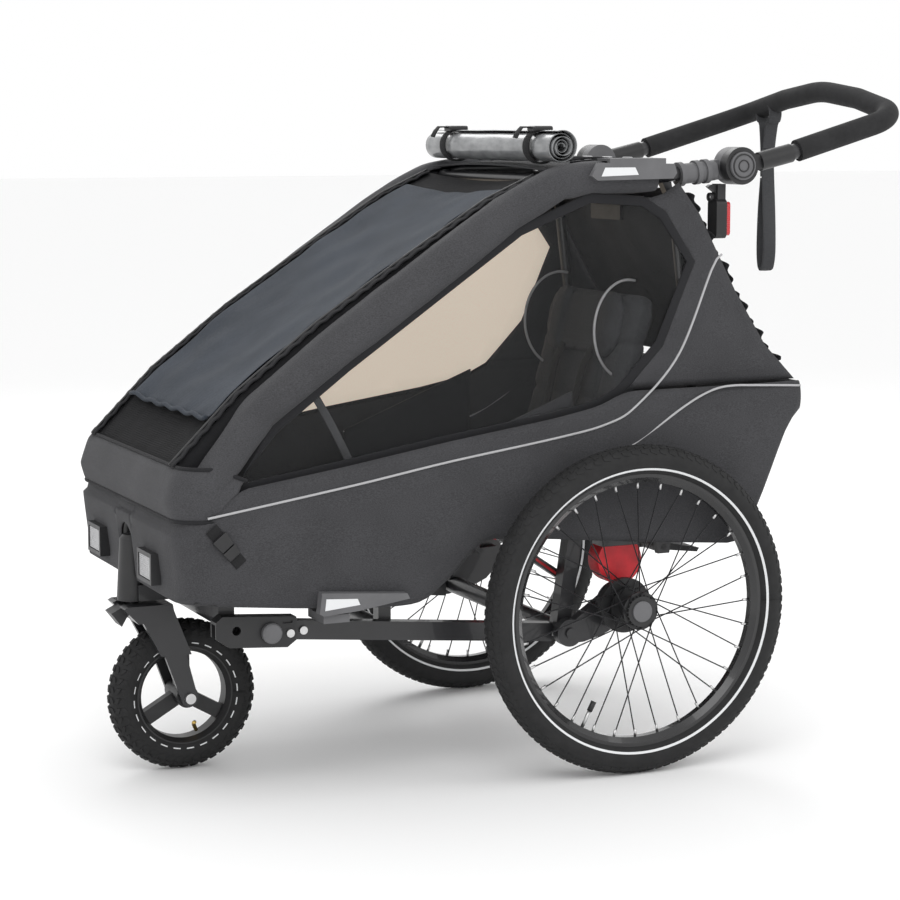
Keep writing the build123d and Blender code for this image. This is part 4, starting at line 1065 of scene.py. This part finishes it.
def front_cover():
    """Mesh window with a dark sheet of painted shade behind it, sunshade over it, and the zips along both
    pillars.
    """
    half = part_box("front_cover")[1].y
    mesh = grid("cover_mesh", cover_rows(0.05, 0.995, half, 0.0), MESH)
    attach(mesh, "bow")
    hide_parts("front_cover")
    # A dark sheet just behind the mesh: painted shade of the inside seen through the mesh window.
    painted_shade_sheet = grid("cover_painted_shade_sheet", cover_rows(0.05, 0.99, half, -0.004), LINING_AND_PAINTED_SHADE)
    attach(painted_shade_sheet, "bow")
    rows = cover_rows(SHADE_START, SHADE_END, half - 0.022, 0.005, 0.0035, seed=5.0)
    for j, point in enumerate(rows[0]):
        x, y, z = point
        rows[0][j] = (x - 0.004, y, z - 0.003 + 0.002 * math.sin(90 * y))
    shade_panel = subdivide(thicken(grid("sunshade", rows, SHADE_FABRIC), 0.0018, 1.0), 1)
    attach(shade_panel, "bow")
    hem_line = [Vector(p) + Vector((-0.001, 0, 0.001)) for p in rows[0]]
    hem = sweep("sunshade_hem", hem_line, circle(0.0035, 8), (0, 0, 1), SHADE_FABRIC)
    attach(hem, "bow")
    for word, side in SIDES:
        rows = []
        for i in range(61):
            share = 0.03 + 0.96 * i / 60
            x, z = along(COVER, share)
            nx, nz = cover_normal(share)
            deep = 0.075 * (1 - share) + 0.02
            rows.append([
                (x - nx * deep * k / 4, side * (half + 0.0005 + 0.006 * (k > 2)), z - nz * deep * k / 4)
                for k in range(5)
            ])
        gusset = thicken(grid(f"cover_gusset_{word}", rows, BINDING), 0.0015, 0)
        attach(gusset, "bow")
        line, teeth = [], []
        for i in range(81):
            share = 0.10 + 0.89 * i / 80
            x, z = along(COVER, share)
            nx, nz = cover_normal(share)
            bump = 0.0035 + 0.0012 * math.sin(i * 2.1)
            line.append((x + nx * bump, side * (half - 0.004), z + nz * bump))
            teeth.append((x + nx * 0.0062, side * (half - 0.006), z + nz * 0.0062))
        flap = sweep(f"zip_flap_{word}", curve(line, 0.01), flat(0.021, 0.0035), (0, 1, 0), BINDING)
        chain = sweep(f"zip_chain_{word}", teeth, circle(0.0022, 6), (0, 1, 0), BLACK)
        for made in (flap, chain):
            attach(made, "bow")


def roof():
    """Dark roof sheet with net cords over it, held by pale clips."""
    low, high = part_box("roof_panel")
    line = outer_line("roof_panel")
    rows = []
    for i in range(25):
        x, z = along(line, i / 24)
        shares = [2 * j / 20 - 1 for j in range(21)]
        rows.append([(x, high.y * v, z + 0.006 * (1 - v ** 2)) for v in shares])
    sheet = thicken(grid("roof_sheet", rows, REAR_FABRIC), 0.002)
    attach(sheet, "bow")
    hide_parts("roof_panel")
    rng = random.Random(4)
    back, front = high.x - 0.004, low.x + 0.075
    cords = []
    for k in range(9):
        y0 = -0.19 + 0.38 * k / 8
        shift = rng.uniform(-0.05, 0.05)
        z = high.z + 0.007
        line = [(front, y0, z), ((front + back) / 2, y0 + shift, z + 0.006), (back, y0 + shift * 1.6, z)]
        line = [(x, max(-0.2, min(0.2, y)), zz) for x, y, zz in line]
        cords.append(sweep("net", curve(line, 0.01), circle(0.0016, 6), (0, 0, 1), BINDING))
    net = joined("roof_net_cords", cords)
    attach(net, "bow")
    clips = []
    for k in range(6):
        y = -0.17 + 0.34 * k / 5
        clip_low = (back - 0.012, y - 0.007, high.z + 0.004)
        clip_high = (back + 0.002, y + 0.007, high.z + 0.014)
        clips.append(block("clip", clip_low, clip_high, PALE_PLASTIC, 0.002))
    bar = joined("roof_net_clips", clips)
    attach(bar, "bow")


def roof_roll():
    """Rain cover rolled into a spiral, with two webbing straps and their buckles."""
    low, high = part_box("roof_roll")
    centre = (low + high) / 2
    radius = (high.z - low.z) / 2
    turns, step = 4.3, 90
    spiral = []
    for i in range(int(turns * step) + 1):
        a = 2 * math.pi * i / step
        r = radius * (0.18 + 0.80 * i / (turns * step))
        spiral.append((r, a))
    rows = []
    for k in range(61):
        v = 2 * k / 60 - 1
        y = v * (high.y - 0.002)
        row = []
        for i, (r, a) in enumerate(spiral):
            squeeze = 1 - 0.10 * math.exp(-((abs(y) - STRAP_Y) / 0.012) ** 2)
            wave = 1 + 0.035 * wrinkle(math.cos(a), y * 9, math.sin(a), 0.8)
            stick = 0.004 * math.sin(i / 37.0) * (abs(v) > 0.98)
            x = centre.x + r * squeeze * wave * math.cos(a)
            z = centre.z + r * squeeze * wave * math.sin(a)
            row.append((x, y + stick, z))
        rows.append(row)
    roll = thicken(grid("rain_cover_roll", rows, SILVER), 0.0008, 0)
    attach(roll, "bow")
    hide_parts("roof_roll")
    for word, side in SIDES:
        y = side * STRAP_Y
        line = ring_line((centre.x, y, centre.z), radius)
        strap = sweep(f"roll_strap_{word}", line, flat(0.022, 0.002), (0, 1, 0), BLACK_WEBBING, closed=True)
        clip = block(f"roll_buckle_{word}", (centre.x - 0.017, y - 0.014, high.z - 0.003),
                     (centre.x + 0.015, y + 0.014, high.z + 0.006), BLACK, 0.003)
        tail_line = curve([
            (centre.x - 0.012, y, high.z + 0.002),
            (centre.x - 0.03, y + 0.004, high.z + 0.004),
            (centre.x - 0.04, y + 0.006, high.z - 0.012),
        ])
        tail = sweep(f"roll_strap_end_{word}", tail_line, flat(0.018, 0.0018), (0, 1, 0), BLACK_WEBBING)
        for made in (strap, tail):
            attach(made, "bow")
        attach(clip, "bow")


# ---------------------------------------------------------------- rear fabric


def rear_fabric():
    """Wrinkled rear panel with a ruffled vent flap down each side, and the tub's rear wall."""
    for node, name, material, amount in (("rear_panel", "rear_panel_cloth", REAR_FABRIC, 0.006),
                                         ("tub_rear", "tub_rear_cloth", BODY_FABRIC, 0.002)):
        line = outer_line(node)
        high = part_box(node)[1]
        rows = []
        for i in range(49):
            x, z = along(line, i / 48)
            row = []
            for j in range(41):
                v = 2 * j / 40 - 1
                free = min(1, 6 * (1 - abs(v))) * min(1, 8 * min(i / 48, 1 - i / 48))
                out = amount * wrinkle(x, v * 0.25, z, 0.075, 7.0) * free
                row.append((x + out, v * high.y, z + out * 0.6))
            rows.append(row)
        cloth = thicken(grid(name, rows, material), 0.002)
        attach(cloth, "chassis")
        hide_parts(node)
        SQUASHED.append((cloth, UPPER_KEEP if node == "rear_panel" else TUB_KEEP))
    line = outer_line("rear_panel")
    for word, side in SIDES:
        rows = []
        for i in range(90):
            share = 0.03 + 0.93 * i / 89
            x, z = along(line, share)
            wave = 0.0045 * math.sin(i * 0.9) + 0.003 * wrinkle(x, side, z, 0.03, 2.0)
            width = 0.016 + 0.005 * math.sin(i * 0.37)
            y = side * (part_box("rear_panel")[1].y - 0.004)
            rows.append([
                (x + 0.002, y - side * 0.022, z + 0.002),
                (x + 0.006 + wave, y - side * 0.008, z + 0.004),
                (x + width * 0.6 + wave, y, z + width * 0.3),
            ])
        flap = subdivide(thicken(grid(f"vent_flap_{word}", rows, BINDING), 0.0018), 1)
        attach(flap, "chassis")
        SQUASHED.append((flap, UPPER_KEEP))
    x, z = along(outer_line("tub_rear"), 0.2)
    for word, side in SIDES:
        tab = block(f"rear_buckle_{word}", (x - 0.002, side * 0.17 - 0.013, z - 0.012),
                    (x + 0.010, side * 0.17 + 0.013, z + 0.012), BLACK, 0.003)
        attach(tab, "chassis")


# ---------------------------------------------------------------- wheels


def wheel_frame(node):
    """Centre, radius and half width of a wheel piece."""
    low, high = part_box(node)
    return (low + high) / 2, (high.x - low.x) / 2, (high.y - low.y) / 2


REAR_TREAD = [  # angle across the section, number of blocks, their length, width and twist
    (-52, 96, 0.011, 0.006, 0.35),
    (-26, 110, 0.010, 0.006, -0.3),
    (0, 120, 0.009, 0.005, 0.0),
    (26, 110, 0.010, 0.006, 0.3),
    (52, 96, 0.011, 0.006, -0.35),
]
CASTER_TREAD = ((-74, 0.5), (-48, -0.5), (-24, 0.5), (0, 0.0), (24, -0.5), (48, 0.5), (74, -0.5))
BLOCK_FACES = ((4, 5, 6, 7), (0, 1, 5, 4), (1, 2, 6, 5), (2, 3, 7, 6), (3, 0, 4, 7))


def rear_tyres():
    """Carcass, rows of tread blocks and a white stripe on each side wall."""
    for word, side in SIDES:
        node = f"rear_tyre_{word}"
        centre, radius, half = wheel_frame(node)
        ring = radius - half
        outline = []
        for k in range(33):
            a = math.radians(-158 + 316 * k / 32)
            section = half - 0.0012 * max(0.0, math.cos(a))
            outline.append((ring + section * math.cos(a), section * math.sin(a)))
        carcass = thicken(turned(f"rear_tyre_{word}_carcass", outline, centre, side, TYRE, 120), 0.003, -1)
        rows = []
        for angle, count, length, width, twist in REAR_TREAD:
            a = math.radians(angle)
            rows.append(tread_row(centre, ring, half, side, a, count, length, width, twist, 0.0016))
        tread = joined(f"rear_tyre_{word}_tread", rows)
        stripes = []
        for face in (-1, 1):
            band = []
            for k in range(5):
                a = face * math.radians(114 + 9 * k / 4)
                band.append((ring + (half + 0.0004) * math.cos(a), (half + 0.0004) * math.sin(a)))
            stripes.append(turned("stripe", band, centre, side, REFLECTIVE, 120))
        stripe = joined(f"rear_tyre_{word}_stripe", stripes)
        for made in (carcass, tread, stripe):
            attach(made, f"wheel_{word}")
        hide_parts(node)


def tread_row(centre, ring, half, side, angle, count, length, width, twist, height):
    """One row of rubber blocks round a tyre, at an angle across its section."""
    points, faces = [], []
    outward = Vector((math.cos(angle), math.sin(angle)))
    for i in range(count):
        a = 2 * math.pi * (i + 0.5 * (round(math.degrees(angle)) % 2)) / count
        radial = Vector((math.cos(a), 0, math.sin(a)))
        across = Vector((0, side, 0))
        forward = Vector((-math.sin(a), 0, math.cos(a)))
        up = radial * outward.x + across * outward.y
        sideways = up.cross(forward)
        base = Vector(centre) + radial * (ring + half * outward.x) + across * (half * outward.y)
        run = (forward + sideways * twist).normalized()
        start = len(points)
        for level, shrink in ((-height, 1.0), (0.0, 0.86)):
            for s, t in ((-1, -1), (1, -1), (1, 1), (-1, 1)):
                corner = base + up * level + run * (s * length / 2 * shrink)
                points.append(corner + sideways * (t * width / 2 * shrink))
        faces += [tuple(start + k for k in f) for f in BLOCK_FACES]
    return piece("row", points, faces, TYRE, smooth=False)


def caster_tyre():
    """Wide carcass with knobs and a ring of reflective dashes."""
    centre, radius, half = wheel_frame("caster_tyre")
    ring = radius - half
    outline = []
    for k in range(29):
        a = math.radians(-150 + 300 * k / 28)
        section = half - 0.0022 * max(0.0, math.cos(a))
        outline.append((ring + section * math.cos(a), section * math.sin(a)))
    carcass = thicken(turned("caster_carcass", outline, centre, 1, TYRE, 96), 0.003, -1)
    rows = []
    for angle, twist in CASTER_TREAD:
        rows.append(tread_row(centre, ring, half, 1, math.radians(angle), 44, 0.0115, 0.0075, twist, 0.0026))
    tread = joined("caster_tread", rows)
    dashes = []
    for face in (-1, 1):
        for i in range(24):
            a0 = 2 * math.pi * i / 24
            band = []
            for k in range(5):
                a = a0 + math.radians(8) * k / 4
                row = []
                for j in range(3):
                    s = face * math.radians(108 + 4 * j / 2)
                    r, out = ring + (half + 0.0005) * math.cos(s), (half + 0.0005) * math.sin(s)
                    row.append(centre + Vector((r * math.cos(a), out, r * math.sin(a))))
                band.append(row)
            dashes.append(grid("dash", band, REFLECTIVE))
    ring_marks = joined("caster_dashes", dashes)
    for made in (carcass, tread, ring_marks):
        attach(made, "caster_wheel")
    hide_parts("caster_tyre")
    bends = ((0.020, -0.008, -0.058), (0.012, -0.02, -0.045), (0.010, -0.032, -0.040))
    valve_line = curve([centre + Vector(p) for p in bends])
    valve = sweep("caster_valve", valve_line, circle(0.003, 10), (0, 0, 1), BRASS)
    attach(valve, "caster_wheel")


def wheel_details():
    """Nipples, valve and hub rings on each rear wheel."""
    for word, side in SIDES:
        low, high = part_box(f"rear_rim_{word}")
        centre, radius = (low + high) / 2, (high.x - low.x) / 2
        inner = radius - 0.015
        nipples = []
        for i in range(32):
            a = 2 * math.pi * i / 32
            d = Vector((math.cos(a), 0, math.sin(a)))
            start = centre + d * (inner - 0.010) + Vector((0, side * 0.0018 * (1 if (i // 2) % 2 else -1), 0))
            nipples.append(sweep("nipple", [start, start + d * 0.011], circle(0.0021, 8), (0, 1, 0), STEEL))
        made = joined(f"rear_nipples_{word}", nipples)
        a = math.radians(-118)
        d = Vector((math.cos(a), 0, math.sin(a)))
        stem_line = [centre + d * (inner - 0.030), centre + d * inner]
        cap_line = [centre + d * (inner - 0.042), centre + d * (inner - 0.026)]
        stem = sweep("stem", stem_line, circle(0.0028, 10), (0, 1, 0), STEEL)
        cap = sweep(f"rear_valve_cap_{word}", cap_line, circle(0.0042, 12), (0, 1, 0), BLACK)
        valve = joined(f"rear_valve_{word}", [stem])
        for part in (made, valve, cap):
            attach(part, f"wheel_{word}")
        hub_low, hub_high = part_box(f"rear_hub_{word}")
        face = max(abs(hub_low.y), abs(hub_high.y))
        ribs = []
        for i in range(24):
            b = 2 * math.pi * i / 24
            out = Vector((math.cos(b), 0, math.sin(b)))
            at_y = Vector((0, side * (face - abs(centre.y) - 0.0055), 0))
            foot = centre + out * 0.0235 + at_y
            reach = Vector((0, side * 0.005, 0))
            across = (1, 0, 0) if abs(out.x) < 0.7 else (0, 0, 1)
            ribs.append(sweep("rib", [foot - reach, foot + reach], circle(0.0012, 6), across, BLACK))
        ring = joined(f"rear_hub_ribs_{word}", ribs)
        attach(ring, f"wheel_{word}")


# ---------------------------------------------------------------- frame details


def stickers():
    """Reflective stickers on the bumper blocks and the red stripe on each brace."""
    for node, body in (("lower_bumpers", "chassis"), ("roof_bumpers", "bow")):
        low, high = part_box(node)
        for word, side in SIDES:
            y = side * (high.y + 0.0006)
            if node == "lower_bumpers":
                z = low.z + 0.020
                corners = [(0.008, 0), (0.062, 0.005), (0.058, 0.014), (0.010, 0.017)]
            else:
                z = low.z + 0.006
                corners = [(0.016, 0), (0.078, 0.002), (0.072, 0.013), (0.022, 0.013)]
            points = [(low.x + dx, y, z + dz) for dx, dz in corners]
            face = piece(f"{node}_reflector_{word}", points, [(0, 1, 2, 3)], REFLECTIVE, False)
            mark = thicken(face, 0.0006)
            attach(mark, body)
    low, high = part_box("brace_bars")
    for word, side in SIDES:
        y = side * (high.y + 0.0008)
        start, end = Vector((low.x + 0.012, y, high.z - 0.012)), Vector((high.x - 0.008, y, low.z + 0.010))
        stripe = sweep(f"brace_stripe_{word}", [start, end], flat(0.004, 0.001), (0, 0, 1), RED_RUBBER)
        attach(stripe, "chassis")


def wrist_strap():
    """Webbing loop round the crossbar: two layers, a sewn bartack and an open loop below."""
    low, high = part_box("wrist_strap")
    x, y = (low.x + high.x) / 2, (low.y + high.y) / 2
    top = high.z + 0.012
    radius = 0.0215
    bar_y = y - 0.002
    ring = []
    for i in range(15):
        a = math.radians(-62 + 304 * i / 14)
        ring.append((x, bar_y + radius * math.cos(a), top + radius * math.sin(a)))
    tack = high.z - 0.055
    bottom = low.z + 0.004
    line = [(x, y + 0.0018, bottom + 0.16), (x, y + 0.0022, tack), *ring, (x, y - 0.0022, tack),
            (x, y - 0.002, bottom + 0.17), (x, y - 0.009, bottom + 0.09), (x, y - 0.011, bottom + 0.03),
            (x, y - 0.004, bottom + 0.002), (x, y + 0.005, bottom + 0.004), (x, y + 0.010, bottom + 0.035),
            (x, y + 0.008, bottom + 0.10), (x, y + 0.0018, bottom + 0.158)]
    strap = sweep("wrist_strap_webbing", curve(line, 0.006), flat(0.025, 0.002), (1, 0, 0), WEBBING)
    stitches = []
    for k in range(7):
        z = tack - 0.004 + 0.003 * k
        stitches.append(sweep("stitch", [(x - 0.010, y - 0.0042, z), (x + 0.010, y - 0.0042, z)],
                              circle(0.0006, 6), (0, 1, 0), BLACK_WEBBING))
    thread = joined("wrist_strap_bartack", stitches)
    for made in (strap, thread):
        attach(made, "handle")
    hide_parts("wrist_strap")


SIDE_STRAP = [(-0.373, -0.205, 0.592), (-0.34, -0.204, 0.535), (-0.306, -0.2, 0.47)]  # inside the left window


def harness():
    """Shoulder straps, crotch strap and buckle on the seat, and the near side's thin grey strap."""
    back_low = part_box("seat_back")[0]
    pad_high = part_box("seat_pad")[1]
    buckle = Vector((pad_high.x - 0.14, 0, pad_high.z + 0.012))
    for word, side in SIDES:
        line = [
            (back_low.x + 0.075, side * 0.055, back_low.z + 0.235),
            (back_low.x + 0.030, side * 0.05, back_low.z + 0.17),
            (back_low.x - 0.012, side * 0.04, back_low.z + 0.06),
            buckle + Vector((0.01, side * 0.012, 0.006)),
        ]
        strap = sweep(f"shoulder_strap_{word}", curve(line), flat(0.022, 0.002), (0, 1, 0), BLACK_WEBBING)
        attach(strap, "seat_back")
    crotch_line = curve([
        (buckle.x - 0.045, 0, pad_high.z - 0.004), (buckle.x - 0.02, 0, pad_high.z + 0.006), buckle
    ])
    crotch = sweep("crotch_strap", crotch_line, flat(0.024, 0.002), (0, 1, 0), BLACK_WEBBING)
    clasp_low, clasp_high = buckle - Vector((0.02, 0.019, 0.005)), buckle + Vector((0.02, 0.019, 0.007))
    clasp = block("harness_buckle", clasp_low, clasp_high, BLACK, 0.004)
    for made, slot_name in ((crotch, "webbing"), (clasp, "black_plastic")):
        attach(made, "chassis")
    grab = sweep("side_strap_left", curve(SIDE_STRAP), flat(0.012, 0.0015), (1, 0, 0.6), WEBBING)
    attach(grab, "chassis")
    SQUASHED.append((grab, UPPER_KEEP))


def crescents():
    """Pale crescents beside the headrest, and the seat's side walls with piping on top."""
    head_low, head_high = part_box("headrest")
    centre = ((head_low.x + head_high.x) / 2 + 0.016, (head_low.z + head_high.z) / 2 - 0.006)
    for word, side in SIDES:
        y = side * 0.118
        line = []
        for i in range(17):
            a = math.radians(78 + 196 * i / 16)
            x, z = centre[0] + 0.062 * math.cos(a), centre[1] + 0.078 * math.sin(a)
            line.append((x, y - side * 0.006 * math.cos(a), z))
        crescent = sweep(f"headrest_piping_{word}", curve(line), circle(0.0022, 8), (0, 1, 0), PIPING)
        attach(crescent, "seat_back")
        pad_low, pad_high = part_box("seat_pad")
        rise = [
            (pad_low.x + 0.02, side * 0.186, pad_high.z + 0.052),
            (pad_low.x + 0.10, side * 0.187, pad_high.z + 0.085),
            (pad_low.x + 0.18, side * 0.188, pad_high.z + 0.115),
            (pad_high.x - 0.06, side * 0.188, pad_high.z + 0.142),
        ]
        seam = sweep(f"seat_side_piping_{word}", curve(rise), circle(0.002, 8), (0, 1, 0), PIPING)
        rows = []
        for i in range(25):
            t = i / 24
            top = Vector(rise[0]) + (Vector(rise[-1]) - Vector(rise[0])) * t
            foot = pad_high.z - 0.03
            row = []
            for j in range(9):
                y = side * (0.187 + 0.004 * math.sin(math.pi * j / 8))
                row.append((top.x, y, foot + (top.z + 0.004 - foot) * j / 8))
            rows.append(row)
        wall = thicken(grid(f"seat_side_wall_{word}", rows, LINING_AND_PAINTED_SHADE), 0.004)
        for made in (seam, wall):
            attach(made, "chassis")
            SQUASHED.append((made, 0.5))


def hinge_details():
    """Rings moulded on each handle hinge button, and a small loop near the top of the tail light."""
    low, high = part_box("hinge_button_left")
    centre = (low + high) / 2
    for word, side in SIDES:
        face = abs(low.y) + 0.0004
        rings = []
        for radius, tube_r in ((0.0175, 0.0012), (0.0085, 0.001)):
            line = ring_line((centre.x, side * face, centre.z), radius)
            rings.append(sweep("ring", line, circle(tube_r, 8), (0, 1, 0), BLACK, closed=True))
        ring = joined(f"hinge_button_rings_{word}", rings)
        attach(ring, f"hinge_button_{word}")
    light_low, light_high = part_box("tail_light")
    centre = (light_low.x - 0.004, (light_low.y + light_high.y) / 2, light_high.z - 0.02)
    line = ring_line(centre, 0.006, "X")
    strap = sweep("tail_light_strap", line, flat(0.006, 0.0016), (1, 0, 0), BLACK, closed=True)
    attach(strap, "tail_light")


# ---------------------------------------------------------------- everything

for node in BEVELLED:
    soften(NODES[node], 0.0012)

tub_shell()
arch_liner()
sill_piping()
tail_piping()
apron()
buckles()
upper_sides()
windows()
sun_screen()
pillar_pads()
seat()
front_cover()
roof()
roof_roll()
rear_fabric()
rear_tyres()
caster_tyre()
wheel_details()
stickers()
wrist_strap()
harness()
crescents()
hinge_details()
for soft, keep in SQUASHED:
    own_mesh(soft)
